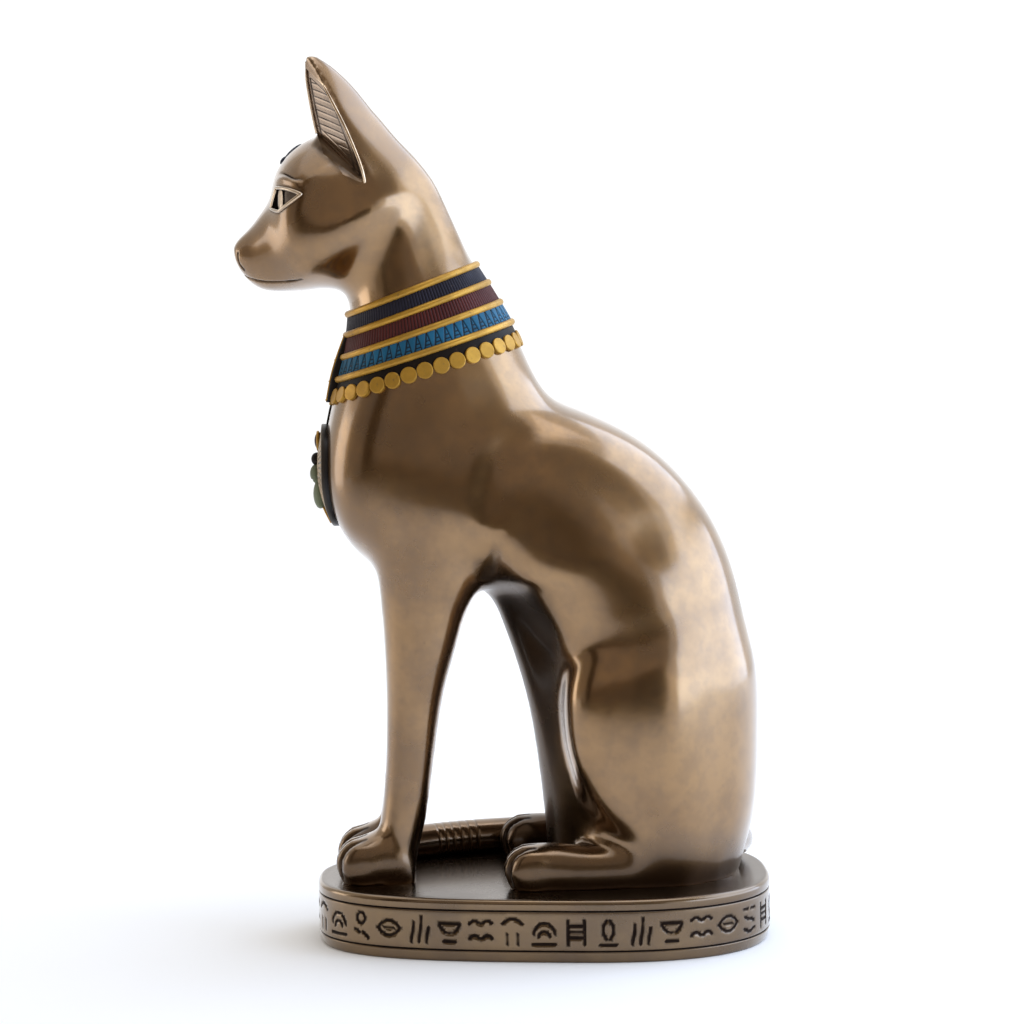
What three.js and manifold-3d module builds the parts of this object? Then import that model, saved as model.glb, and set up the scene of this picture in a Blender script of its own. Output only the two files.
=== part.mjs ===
import * as THREE from 'three';
import { mergeVertices } from 'three/addons/utils/BufferGeometryUtils.js';
import Module from 'manifold-3d';

// Seated cat figure on an oval plinth, cast in one piece and painted.
// Millimetres, +Z up. The cat looks towards -X, its left side is -Y, and the
// origin is on the underside of the plinth, under the middle of its length.

// Driving dimensions
const figureHeight = 272.4;     // plinth top to ear tips
const plinthHeight = 20.6;
const plinthMargin = 4.5;       // plinth rim beyond the toes and the rump
const plinthDraft = 1.0;        // how far the foot band leans in at the underside
const grooveDepth = 0.7;        // the two lines that border the inscription
const grooveWidth = 1.0;
const bandInset = 3.8;          // from each face of the plinth to its groove
const strokeDepth = 0.6;
const strokeWidth = 1.1;
const strokeCells = 20;
const collarProud = 0.9;        // bands of the collar over the neck
const ringProud = 0.9;          // gold rings over the bands
const ringWidth = 2.4;
const beadDiameter = 5.5;
const beadThickness = 1.1;
const beadCount = 34;
const pendantThickness = 2.0;
const plaqueWidth = 13.0;
const plaqueProud = 1.6;        // plaque over the collar, at the throat
const rimWidth = 1.5;           // raised rims round the eyes
const sink = 1.5;               // how deep a raised part runs into what carries it

// The free form is drawn at 272.4 high and keeps its proportions at any height.
const share = figureHeight / 272.4;

const wasm = await Module();
wasm.setup();

// A closed geometry as a solid, turned so that its faces point out
function solid(geometry) {
  geometry.deleteAttribute('normal');
  geometry.deleteAttribute('uv');
  const merged = mergeVertices(geometry, 1e-4);
  const vertProperties = new Float32Array(merged.attributes.position.array);
  const triVerts = new Uint32Array(merged.index.array);
  const corner = (k) => new THREE.Vector3().fromArray(vertProperties, 3 * triVerts[k]);
  let volume = 0;
  for (let k = 0; k < triVerts.length; k += 3) {
    volume += corner(k).dot(corner(k + 1).cross(corner(k + 2)));
  }
  if (volume < 0) triVerts.reverse();
  return new wasm.Manifold(new wasm.Mesh({ numProp: 3, vertProperties, triVerts }));
}

function geometryOf(manifold) {
  const { vertProperties, triVerts } = manifold.getMesh();
  const geometry = new THREE.BufferGeometry();
  geometry.setAttribute('position', new THREE.Float32BufferAttribute(vertProperties, 3));
  geometry.setIndex(Array.from(triVerts));
  return geometry;
}

const join = (solids) => solids.reduce((whole, next) => whole.add(next));

// Moves every vertex of a geometry to place(vertex)
function shaped(geometry, place) {
  const position = geometry.attributes.position;
  const vertex = new THREE.Vector3();
  for (let i = 0; i < position.count; i += 1) {
    vertex.fromBufferAttribute(position, i);
    position.setXYZ(i, ...place(vertex));
  }
  return geometry;
}

// A row is one section of the form:
// [x, z of its first point, x, z of its last point, middle y, half width, front share, squareness]
// The front share narrows the first half of the section. Squareness 2 is an ellipse, and it
// squares the first half more than the last.
const rowSize = 8;

// Control rows of the cubic B-spline that runs through the given rows
function throughRows(rows) {
  const blend = (list, i, k) => {
    const before = i > 0 ? list[i - 1][k] : 2 * list[i][k] - list[i + 1][k];
    const after = i < list.length - 1 ? list[i + 1][k] : 2 * list[i][k] - list[i - 1][k];
    return (before + 4 * list[i][k] + after) / 6;
  };
  let control = rows.map((row) => [...row]);
  for (let pass = 0; pass < 8; pass += 1) {
    const last = control;
    control = last.map((row, i) => row.map((value, k) => value + rows[i][k] - blend(last, i, k)));
  }
  return control;
}

// The row at place t of the spline, with t counted in rows
function rowAt(control, t) {
  const count = control.length;
  const i = Math.min(Math.floor(t), count - 2);
  const f = t - i;
  const weights = [
    (1 - f) ** 3 / 6,
    (3 * f ** 3 - 6 * f ** 2 + 4) / 6,
    (-3 * f ** 3 + 3 * f ** 2 + 3 * f + 1) / 6,
    f ** 3 / 6,
  ];
  const value = (j, k) => {
    if (j < 0) return 2 * control[0][k] - control[1][k];
    if (j >= count) return 2 * control[count - 1][k] - control[count - 2][k];
    return control[j][k];
  };
  return Array.from({ length: rowSize }, (_, k) =>
    weights.reduce((sum, weight, n) => sum + weight * value(i - 1 + n, k), 0));
}

const power = (value, exponent) => Math.sign(value) * Math.abs(value) ** exponent;

// A point of a section: angle 0 at its first point, pi at its last, +Y between them
function sectionPoint(row, angle, proud) {
  const [x0, z0, x1, z1, y, half, frontShare, squareness] = row;
  const exponent = 2 / (Math.cos(angle) < 0 ? 2 + 0.4 * (squareness - 2) : squareness);
  const along = 0.5 - 0.5 * power(Math.cos(angle), exponent);
  const narrowing = THREE.MathUtils.lerp(frontShare, 1, THREE.MathUtils.smoothstep(along, 0, 0.5));
  const length = Math.hypot(x1 - x0, z1 - z0);
  const reach = along + (proud / length) * (2 * along - 1);
  const side = y + power(Math.sin(angle), exponent) * (half * narrowing + proud);
  return new THREE.Vector3(x0 + (x1 - x0) * reach, side, z0 + (z1 - z0) * reach);
}

// A form skinned over its rows at levels of the form [place, height over the skin].
// widthAt gives the share of the half width that is left at a point.
function skin(control, around, levels, widthAt = () => 1) {
  const last = levels.length - 1;
  const tube = new THREE.CylinderGeometry(1, 1, last, around, last);
  return solid(shaped(tube, (v) => {
    const [place, proud] = levels[Math.round(last / 2 - v.y)];
    const row = rowAt(control, place);
    const onSkin = sectionPoint(row, Math.atan2(v.x, v.z), proud / share);
    const middle = sectionPoint(row, 0, 0).add(sectionPoint(row, Math.PI, 0)).divideScalar(2);
    const point = middle.lerp(onSkin, Math.min(1, Math.hypot(v.x, v.z)));
    return [share * point.x, share * point.y * widthAt(point), share * point.z];
  }));
}

// The whole length of a form in even steps, on its skin
const whole = (control, around, steps, widthAt) => skin(control, around,
  Array.from({ length: steps + 1 }, (_, k) => [(control.length - 1) * k / steps, 0]), widthAt);

// Rises smoothly from 0 at the first value to 1 at the last
function rise(value, first, last) {
  const t = THREE.MathUtils.clamp((value - first) / (last - first), 0, 1);
  return t * t * (3 - 2 * t);
}

const rows = (list) => throughRows(list.map(([x0, z0, x1, z1, y, half, frontShare = 1, squareness = 2]) =>
  [x0, z0, x1, z1, y, half, frontShare, squareness]));

const mirrored = (list, side) => rows(list.map((row) =>
  row.map((value, k) => (k === 4 ? side * value : value))));

function ball(x, y, z, rx, ry, rz, around = 12, down = 8) {
  const sphere = new THREE.SphereGeometry(1, around, down);
  return solid(shaped(sphere, (v) => [
    share * (x + rx * v.x), share * (y + ry * v.z), share * (z + rz * v.y)]));
}

const sides = [-1, 1];

// Body: sections from inside the head, down the neck, round the chest and back, to the seat.
// Each runs from the throat, chest or belly to the nape, back or rump.
const bodyRows = rows([
  [-64.0, 228.0, -41.0, 242.0, 0, 17.0],
  [-61.5, 214.0, -34.5, 230.5, 0, 21.0],
  [-62.0, 201.5, -27.8, 218.2, 0, 22.0],
  [-61.7, 190.4, -21.3, 205.8, 0, 22.3],
  [-62.3, 182.2, -16.8, 198.4, 0, 23.1],
  [-64.0, 174.2, -12.6, 191.4, 0, 24.4],
  [-66.4, 165.4, -8.2, 183.4, 0, 26.0],
  [-69.2, 153.9, -3.3, 172.0, 0, 27.6, 1, 2.3],
  [-71.0, 142.9, 3.2, 160.7, 0, 28.8, 1, 2.6],
  [-71.0, 132.4, 12.5, 155.5, 0, 30.0, 1, 2.9],
  [-68.3, 122.4, 25.5, 149.6, 0, 31.2, 1, 3.2],
  [-63.0, 112.4, 38.3, 141.2, 0, 32.2, 1, 3.3],
  [-53.5, 103.4, 49.4, 129.8, 0, 33.0, 1, 3.0],
  [-38.0, 97.0, 57.9, 117.0, 0, 33.8, 1, 2.5],
  [-20.6, 96.5, 64.2, 101.5, 0, 34.5, 1, 2.2],
  [-12.3, 83.4, 68.2, 84.9, 0, 35.0, 0.97],
  [-7.3, 68.0, 72.0, 68.0, 0, 35.0, 0.93],
  [-3.9, 53.4, 72.6, 52.4, 0, 35.0, 0.9],
  [-1.5, 37.0, 72.2, 36.5, 0, 35.0, 0.86],
  [0.2, 21.0, 70.8, 20.5, 0, 34.5, 0.82],
  [1.2, 7.0, 67.5, 7.0, 0, 32.5, 0.8],
  [2.0, -5.0, 64.0, -5.0, 0, 30.0, 0.8],
]);

// The belly draws in ahead of the thighs, up to a line that slants down from the armpits
function bellyWidth(point) {
  const ahead = Math.min(12, -14 + 0.634 * (119 - point.z)) - point.x;
  return 1 - 0.36 * rise(ahead, -1, 16) * rise(point.z, 120, 103);
}
const body = whole(bodyRows, 20, 24, bellyWidth);

// Haunches: level sections of the folded thigh, from inside the flank to the plinth
const haunchRows = [
  [18.0, 114.0, 44.0, 120.0, 14.0, 11.0],
  [9.5, 104.0, 50.0, 110.0, 16.0, 16.5],
  [8.0, 92.0, 54.0, 96.0, 16.5, 18.0, 1, 2.2],
  [9.3, 82.5, 56.0, 85.0, 17.2, 18.8, 1, 2.4],
  [7.2, 72.0, 57.0, 73.0, 18.0, 19.4, 1, 2.9],
  [5.9, 62.0, 57.0, 62.0, 18.5, 20.1, 1, 3.1],
  [6.3, 50.0, 57.0, 50.0, 18.5, 20.6, 1, 3.1],
  [8.4, 39.0, 57.0, 39.0, 18.5, 20.4, 1, 3.0],
  [12.2, 28.0, 57.0, 29.0, 18.5, 19.4, 1, 2.7],
  [17.5, 18.5, 57.0, 19.0, 18.0, 18.6, 1, 2.3],
  [24.0, 8.0, 56.0, 8.0, 17.0, 17.0, 1, 2.2],
  [28.0, -4.0, 54.0, -4.0, 16.0, 14.5, 1, 2.2],
];

// Front legs: level sections from inside the shoulder to the plinth
const legRows = [
  [-60.0, 132.0, -14.0, 126.0, 15.0, 14.5],
  [-57.6, 117.0, -15.5, 111.0, 14.8, 14.8],
  [-54.3, 103.1, -20.0, 98.5, 13.4, 13.6],
  [-52.9, 90.0, -25.0, 89.0, 12.2, 11.9],
  [-52.3, 79.1, -28.2, 78.7, 11.8, 11.3],
  [-51.9, 63.1, -32.7, 62.7, 11.0, 10.0],
  [-52.2, 48.0, -35.4, 47.0, 10.5, 9.0],
  [-53.0, 34.0, -37.4, 33.0, 10.2, 8.4],
  [-54.5, 21.5, -39.4, 20.5, 10.1, 8.3],
  [-55.8, 10.0, -42.0, 10.0, 10.1, 8.3],
  [-55.8, -3.0, -44.0, -3.0, 10.1, 8.0],
];

// Paws and feet: upright sections from the toes back
const pawRows = [
  [-67.0, 11.0, -67.0, -3.0, 10.4, 6.5, 1, 2.6],
  [-62.0, 14.2, -62.0, -3.0, 10.4, 9.0, 1, 2.6],
  [-55.0, 17.0, -55.0, -3.0, 10.4, 9.4, 1, 2.6],
  [-48.0, 15.0, -48.0, -3.0, 10.4, 8.8, 1, 2.6],
  [-43.0, 9.0, -43.0, -3.0, 10.3, 7.0, 1, 2.6],
];
const footRows = [
  [-11.5, 10.5, -11.5, -3.0, 27.0, 6.0, 1, 2.6],
  [-6.0, 14.0, -6.0, -3.0, 27.0, 7.6, 1, 2.6],
  [3.0, 14.6, 3.0, -3.0, 27.0, 7.9, 1, 2.6],
  [14.0, 13.4, 14.0, -3.0, 26.5, 8.2, 1, 2.6],
  [28.0, 14.0, 28.0, -3.0, 25.0, 8.8, 1, 2.4],
  [44.0, 14.0, 44.0, -2.5, 22.0, 9.5, 1, 2.2],
  [58.0, 13.0, 58.0, -1.0, 16.0, 9.5, 1, 2.2],
];

// Four toes across a paw, the outer two a little shorter and set back
function toes(tipX, middleY, height, half) {
  const spread = half * 0.53;
  return [-1.5, -0.5, 0.5, 1.5].map((place) => {
    const outer = Math.abs(place) > 1;
    const length = outer ? 7.5 : 9.0;
    const setBack = outer ? 2.6 : 0;
    return ball(tipX + setBack + length, middleY + place * spread, height * 0.42,
      length, spread * 0.62, height * (outer ? 0.53 : 0.6), 7, 4);
  });
}

// Head: sections from the nose to the back of the skull, each from brow or crown to jaw
const headRows = rows([
  [-99.5, 210.6, -99.1, 206.6, 0, 3.0],
  [-97.9, 213.2, -97.4, 203.0, 0, 5.4],
  [-94.0, 217.0, -93.6, 198.6, 0, 8.2],
  [-90.6, 221.3, -88.8, 196.3, 0, 11.4],
  [-87.6, 225.8, -83.5, 195.9, 0, 15.0],
  [-86.2, 231.0, -78.5, 196.0, 0, 19.0],
  [-84.4, 236.0, -73.5, 196.4, 0, 22.5],
  [-79.8, 241.8, -67.5, 196.6, 0, 24.7],
  [-71.5, 246.7, -61.5, 195.5, 0, 25.2],
  [-60.0, 249.5, -53.0, 196.0, 0, 24.4],
  [-48.5, 246.5, -45.0, 198.0, 0, 22.6],
  [-39.5, 239.0, -37.0, 203.0, 0, 18.5],
  [-33.0, 228.0, -32.0, 212.0, 0, 12.0],
]);

// The cheeks are widest under the eyes and higher by the ears; jaw and crown are narrower
function headWidth(point) {
  const cheek = point.z - 0.8 * (point.x + 66);
  return (1 + 0.09 * rise(cheek, 228, 211) - 0.14 * rise(point.z, 232, 250))
    * (1 - 0.2 * rise(cheek, 210, 195));
}
const head = whole(headRows, 16, 15, headWidth);

// Ears: level sections from the tip down, running on as two ridges behind the neck
const earRows = [
  [-73.6, 271.8, -70.7, 271.8, 17.3, 1.0],
  [-76.0, 268.0, -64.6, 267.6, 16.8, 3.5, 1.35, 2.1],
  [-76.2, 260.5, -57.6, 260.5, 16.6, 5.9, 1.5, 2.1],
  [-74.8, 252.9, -51.6, 252.9, 16.2, 7.7, 1.6, 2.1],
  [-72.5, 243.5, -42.9, 244.0, 15.5, 9.2, 1.6, 2.1],
  [-65.0, 233.0, -33.6, 233.2, 14.0, 10.3, 1.4, 2.1],
  [-56.0, 224.0, -29.2, 224.5, 12.2, 10.6, 1.2],
  [-47.0, 215.0, -25.6, 216.0, 10.9, 10.3],
  [-41.0, 206.0, -22.2, 207.0, 9.8, 9.8],
  [-37.0, 196.0, -20.4, 197.5, 8.8, 9.0],
];

// The two ridges draw together towards the nape
const ridgeWidth = (point) => 1 - 0.26 * rise(point.x + 28.7 + 0.6 * (point.z - 196), -6, 16);

// The hollow of an ear is a leaf between three corners: tip, crown side and cheek side
function earHollow(side) {
  const point = (x, y, z) => new THREE.Vector3(x, side * y, z).multiplyScalar(share);
  const tip = point(-74.0, 16.0, 271.5);
  const crown = point(-71.0, 8.0, 245.5);
  const cheek = point(-53.0, 25.6, 226.5);
  const across = crown.clone().sub(cheek);
  const outward = across.clone().cross(tip.clone().sub(cheek)).normalize();
  if (outward.x > 0) outward.negate();
  const middle = tip.clone().add(crown).add(cheek).divideScalar(3);
  const prism = (inset, depth, height) => {
    const shape = new THREE.Shape();
    const up = tip.clone().sub(middle).normalize();
    const right = up.clone().cross(outward);
    const flat = (p) => {
      const arm = p.clone().sub(middle).multiplyScalar(inset);
      return new THREE.Vector2(arm.dot(right), arm.dot(up));
    };
    const [a, b, c] = [tip, crown, cheek].map(flat);
    shape.moveTo(a.x, a.y);
    shape.quadraticCurveTo((a.x + b.x) / 2 - 1.5 * side, (a.y + b.y) / 2, b.x, b.y);
    shape.quadraticCurveTo((b.x + c.x) / 2, (b.y + c.y) / 2 - 1.5, c.x, c.y);
    shape.quadraticCurveTo((c.x + a.x) / 2 + 1.5 * side, (c.y + a.y) / 2, a.x, a.y);
    const block = new THREE.ExtrudeGeometry(shape,
      { depth: depth + height, bevelEnabled: false, curveSegments: 2 });
    block.translate(0, 0, -depth);
    block.applyMatrix4(new THREE.Matrix4().makeBasis(right, up, outward).setPosition(middle));
    return solid(block);
  };
  return prism(1.6, 0, 30).add(prism(0.84, 1.9, 5));
}

const ears = sides.map((side) => {
  const form = whole(mirrored(earRows, side), 10, 10, ridgeWidth);
  return form.subtract(earHollow(side));
});

// Tail: round sections from the rump, round the right side, to the front paw. The path is where
// its inner side stands, and how far it rises off the plinth.
const tailPath = new THREE.CatmullRomCurve3([
  [56.1, 3.3, 3.6], [60.1, 18.9, 1.1], [53.3, 28.8, 0.2], [38.8, 33.6, 0], [20.0, 34.8, 0],
  [0.6, 33.8, 0], [-14.8, 31.7, 0], [-29.1, 27.8, -0.1], [-40.4, 23.1, -0.3], [-47.2, 19.5, -0.6],
].map(([x, y, z]) => new THREE.Vector3(x, y, z)));
const tailRadius = 6.0;
const tailSink = 0.6;
const tailRings = 5;
const tailGroove = 0.4;

// Places along the tail with the share of its radius: even steps, grooves and a round tip
function tailProfile() {
  const plain = Array.from({ length: 14 }, (_, k) => [0.71 * k / 13, 1]);
  const grooves = Array.from({ length: tailRings }, (_, k) => {
    const middle = 0.735 + 0.021 * k;
    return [[middle - 0.005, 1], [middle, 1 - tailGroove / tailRadius], [middle + 0.005, 1]];
  }).flat();
  return [...plain, ...grooves, [0.88, 1], [0.92, 1], [0.96, 0.9], [0.985, 0.68], [1, 0.3]];
}

function tail() {
  const profile = tailProfile();
  const last = profile.length - 1;
  const tube = new THREE.CylinderGeometry(1, 1, last, 9, last);
  const up = new THREE.Vector3(0, 0, 1);
  return solid(shaped(tube, (v) => {
    const [t, width] = profile[Math.round(last / 2 - v.y)];
    const across = tailPath.getTangentAt(t).cross(up).normalize();
    const radius = tailRadius * width;
    const point = tailPath.getPointAt(t)
      .addScaledVector(across, tailRadius + radius * v.x)
      .addScaledVector(up, tailRadius - tailSink + radius * v.z);
    return [share * point.x, share * point.y, share * point.z];
  }));
}

// Finds where a line from outside first meets a solid
function landing(target, from, direction) {
  const ray = new THREE.Raycaster(from, direction);
  const hit = ray.intersectObject(target, false)[0];
  return hit ? hit.point : null;
}
const touchable = (manifold) => new THREE.Mesh(
  geometryOf(manifold), new THREE.MeshBasicMaterial({ side: THREE.DoubleSide }));
const bodySurface = touchable(body);
const headSurface = touchable(head);

// Eyes: a raised rim on each side, in the outline of a leaf that points back
const eyeOutline = [
  [-86.9, 223.6], [-86.2, 227.0], [-84.2, 229.8], [-80.5, 229.3], [-76.3, 227.8],
  [-79.0, 224.8], [-82.0, 222.3], [-84.9, 221.6],
];

function eyeRim(side) {
  const onHead = eyeOutline.map(([x, z]) => landing(headSurface,
    new THREE.Vector3(share * x, side * share * 60, share * z), new THREE.Vector3(0, -side, 0)));
  const path = new THREE.CatmullRomCurve3(onHead, true);
  const ring = new THREE.TorusGeometry(2, 1, 4, 16);
  return solid(shaped(ring, (v) => {
    const turn = Math.atan2(v.y, v.x) / (2 * Math.PI);
    const middle = path.getPointAt((turn + 1) % 1);
    const across = Math.hypot(v.x, v.y) - 2;
    const centre = new THREE.Vector3(share * -82, middle.y, share * 226);
    const outward = middle.clone().sub(centre).normalize();
    const point = middle.addScaledVector(outward, across * rimWidth / 2);
    point.y += side * v.z * rimWidth / 2;
    return [point.x, point.y, point.z];
  }));
}

// Collar: bands as a sleeve over the neck, four gold rings, and a row of discs below
const ringPlaces = [3.25, 4.12, 5.04, 5.88];
const discPlace = 6.42;

function collar() {
  const rowLength = 8.4;
  const half = ringWidth / 2 / (share * rowLength);
  const edge = 0.02;
  const bandTop = collarProud;
  const ringTop = collarProud + ringProud;
  const levels = ringPlaces.flatMap((place) => [
    [place - half - edge, bandTop], [place - half, ringTop],
    [place + half, ringTop], [place + half + edge, bandTop],
  ]);
  levels[0][1] = -sink;
  levels[levels.length - 1][1] = -sink;
  return skin(bodyRows, 24, levels);
}

// Places round a section at equal steps of its length
function evenAngles(row, count, first) {
  const fine = 720;
  const lengths = [0];
  for (let i = 1; i <= fine; i += 1) {
    const a = sectionPoint(row, 2 * Math.PI * (i - 1) / fine, 0);
    lengths.push(lengths[i - 1] + a.distanceTo(sectionPoint(row, 2 * Math.PI * i / fine, 0)));
  }
  return Array.from({ length: count }, (_, k) => {
    const wanted = lengths[fine] * (k + first) / count;
    return 2 * Math.PI * lengths.findIndex((length) => length >= wanted) / fine;
  });
}

function collarDisc(angle) {
  const row = rowAt(bodyRows, discPlace);
  const at = (a, place) => sectionPoint(rowAt(bodyRows, place), a, 0).multiplyScalar(share);
  const middle = at(angle, discPlace);
  const round = at(angle + 0.02, discPlace).sub(at(angle - 0.02, discPlace)).normalize();
  const down = at(angle, discPlace + 0.1).sub(at(angle, discPlace - 0.1)).normalize();
  const outward = round.clone().cross(down).normalize();
  const centre = sectionPoint(row, 0, 0).add(sectionPoint(row, Math.PI, 0)).divideScalar(2);
  if (outward.dot(middle.clone().sub(centre.multiplyScalar(share))) < 0) outward.negate();
  const radius = beadDiameter / 2;
  const disc = new THREE.CylinderGeometry(radius, radius, beadThickness + sink, 6);
  disc.translate(0, (beadThickness - sink) / 2, 0);
  disc.applyQuaternion(new THREE.Quaternion().setFromUnitVectors(new THREE.Vector3(0, 1, 0), outward));
  disc.translate(middle.x, middle.y, middle.z);
  return solid(disc);
}

const discs = evenAngles(rowAt(bodyRows, discPlace), beadCount, 0.5).map(collarDisc);

// Plaque at the throat: flat, edged sections from the second ring to the discs
const plaqueRows = rows([
  [-62.0 - plaqueProud, 182.0, -58.0, 182.0, 0, plaqueWidth / 2, 1, 5],
  [-65.3 - plaqueProud, 173.0, -60.0, 173.0, 0, plaqueWidth / 2, 1, 5],
  [-67.3 - plaqueProud, 166.0, -62.0, 166.0, 0, plaqueWidth / 2, 1, 5],
  [-68.6 - plaqueProud, 159.0, -64.0, 159.0, 0, plaqueWidth / 2, 1, 5],
]);
const plaque = whole(plaqueRows, 12, 3);

// Winged beetle on the chest: an oval plate bent to the chest, with the beetle's body, its head
// and a disc on it, as [middle z, half width, half height, height over the plate]
const pendantForms = [
  [134.8, 13.5, 17.2, 0],
  [134.3, 5.6, 8.0, 2.3],
  [143.3, 4.0, 3.2, 1.8],
  [148.0, 3.4, 3.4, 1.6],
];

function chestX(y, z) {
  const from = new THREE.Vector3(share * -150, share * y, share * z);
  return landing(bodySurface, from, new THREE.Vector3(1, 0, 0)).x;
}

function onChest(middleZ, halfWidth, halfHeight, height) {
  const form = new THREE.SphereGeometry(1, 11, 5);
  form.rotateZ(Math.PI / 2);
  return solid(shaped(form, (v) => {
    const y = halfWidth * v.y;
    const z = middleZ + halfHeight * v.z;
    const lift = v.x < 0 ? height * Math.abs(v.x) ** 0.4 : -sink;
    return [chestX(y, z) - lift, share * y, share * z];
  }));
}

const pendant = join(pendantForms.map(([middleZ, halfWidth, halfHeight, over]) =>
  onChest(middleZ, halfWidth, halfHeight, pendantThickness + over)));

// Small beetle lying on the brow
const browBeetle = (() => {
  const sphere = new THREE.SphereGeometry(1, 10, 6);
  sphere.scale(1.9, 4.4, 6.0);
  sphere.rotateY(0.72);
  sphere.scale(share, share, share);
  sphere.translate(share * -79.0, 0, share * 240.8);
  return solid(sphere);
})();

// Plinth: an egg-shaped oval round the feet, blunt in front, fuller behind
const feetFront = -71.5 * share;
const feetBack = 70.9 * share;
const feetHalfWidth = 44.5 * share;
const plinthFront = feetFront - plinthMargin;
const plinthBack = feetBack + plinthMargin;
const plinthHalfWidth = feetHalfWidth + plinthMargin;
const outlineSteps = 40;

function plinthPoint(turn, inset) {
  const c = Math.cos(turn);
  const s = Math.sin(turn);
  const middle = (plinthFront + plinthBack) / 2;
  const half = (plinthBack - plinthFront) / 2;
  const x = middle + half * power(c, 0.72);
  const taper = 0.973 + 0.13 * Math.tanh(x / (0.32 * (plinthBack - plinthFront)));
  const y = plinthHalfWidth * taper * power(s, 0.78);
  const normal = new THREE.Vector2(c / half, s / plinthHalfWidth).normalize();
  return new THREE.Vector2(x - inset * normal.x, y - inset * normal.y);
}

const grooveLevels = [bandInset, plinthHeight - bandInset];

function plinthBody() {
  const levels = [[0, plinthDraft], [grooveLevels[0] - grooveWidth, 0.2]];
  grooveLevels.forEach((z) => {
    levels.push([z - grooveWidth / 2, 0], [z, grooveDepth], [z + grooveWidth / 2, 0]);
  });
  levels.push([plinthHeight - 0.9, 0], [plinthHeight, 0.8]);
  const tube = new THREE.CylinderGeometry(1, 1, levels.length - 1, outlineSteps, levels.length - 1);
  const half = (levels.length - 1) / 2;
  return solid(shaped(tube, (v) => {
    const [z, inset] = levels[Math.round(v.y + half)];
    const edge = plinthPoint(Math.atan2(v.z, v.x), inset);
    const out = Math.min(1, Math.hypot(v.x, v.z));
    return [edge.x * out, edge.y * out, z];
  }));
}

// Inscription: rows of plain strokes that stand for signs, cut round the band
function inscription() {
  const bandHeight = grooveLevels[1] - grooveLevels[0] - 2 * grooveWidth;
  const middleZ = plinthHeight / 2;
  const kinds = [
    [[0, 0, 0.8, 0]],
    [[-1.2, 0, 0.6, 0.3], [1.2, 0, 0.6, -0.3]],
    [[0, 0.25, 0.35, Math.PI / 2], [0, -0.25, 0.35, Math.PI / 2]],
    [[-1.1, 0, 0.7, 0], [1.1, -0.1, 0.5, 0.6]],
    [[0, 0, 0.7, 0.8]],
  ];
  const cuts = [];
  for (let cell = 0; cell < strokeCells; cell += 1) {
    const turn = 2 * Math.PI * (cell + 0.5) / strokeCells;
    const here = plinthPoint(turn, 0);
    const next = plinthPoint(turn + 0.02, 0);
    const heading = Math.atan2(next.y - here.y, next.x - here.x);
    kinds[(cell * 3) % kinds.length].forEach(([shift, rise, length, lean]) => {
      const stroke = new THREE.BoxGeometry(strokeWidth, 2 * strokeDepth, length * bandHeight);
      stroke.rotateY(lean);
      stroke.translate(1.6 * shift, 0, rise * bandHeight);
      stroke.rotateZ(heading);
      stroke.translate(here.x, here.y, middleZ);
      cuts.push(solid(stroke));
    });
  }
  return cuts;
}

const plinth = inscription().reduce((whole, cut) => whole.subtract(cut), plinthBody());

// The cat stands on the plinth's top face
const limbs = sides.flatMap((side) => [
  whole(mirrored(haunchRows, side), 12, 10),
  whole(mirrored(legRows, side), 10, 9),
  whole(mirrored(pawRows, side), 9, 4),
  whole(mirrored(footRows, side), 9, 5),
  ...toes(-70.2, side * 10.4, 15.0, 9.2),
  ...toes(-14.9, side * 27.0, 14.6, 7.8),
]);
const adornment = [
  collar(), ...discs, plaque, pendant, browBeetle,
  ...sides.map(eyeRim),
];
const cat = join([body, head, ...ears, ...limbs, tail(), ...adornment])
  .translate([0, 0, plinthHeight]);
const belowTop = new THREE.BoxGeometry(400, 300, 60).translate(0, 0, -30 + plinthHeight - 0.5);
const figure = cat.subtract(solid(belowTop)).add(plinth);

const bronze = new THREE.MeshStandardMaterial({ color: 0x8a6a4a, roughness: 0.35, metalness: 0.9 });
const mesh = new THREE.Mesh(geometryOf(figure), bronze);
mesh.name = 'bastet_cat_figure';

const part = new THREE.Group();
part.add(mesh);
export default part;
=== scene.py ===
import math

import bmesh
import bpy
import numpy as np
from mathutils import Matrix, Quaternion, Vector
from mathutils.bvhtree import BVHTree
from mathutils.kdtree import KDTree


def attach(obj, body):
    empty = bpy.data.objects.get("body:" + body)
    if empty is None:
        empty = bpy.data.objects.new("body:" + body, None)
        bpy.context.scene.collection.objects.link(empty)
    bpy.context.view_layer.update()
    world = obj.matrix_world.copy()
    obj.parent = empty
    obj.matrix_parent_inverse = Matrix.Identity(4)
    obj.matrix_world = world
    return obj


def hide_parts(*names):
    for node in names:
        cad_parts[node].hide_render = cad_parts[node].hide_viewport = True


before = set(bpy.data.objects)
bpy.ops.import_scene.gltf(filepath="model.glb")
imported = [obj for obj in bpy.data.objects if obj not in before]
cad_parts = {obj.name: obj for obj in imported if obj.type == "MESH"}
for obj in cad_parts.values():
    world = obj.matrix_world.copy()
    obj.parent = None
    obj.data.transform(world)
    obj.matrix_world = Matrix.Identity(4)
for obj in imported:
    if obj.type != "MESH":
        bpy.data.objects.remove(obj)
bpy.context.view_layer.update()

# Body: the sitting cat from its neck to its paws, cast in bronze in one piece with the rest.
# Trunk, haunches, legs and feet were modelled together, so they flow into one another; only
# the front of the thigh keeps an edge, and grooves part the toes.
MM = 0.001
FIGURE = "bastet_cat_figure"
PLINTH_TOP = 20.6
BODY_GRAIN = 1.2  # size of a face of the modelled skin
SIDES = (-1, 1)

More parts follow.
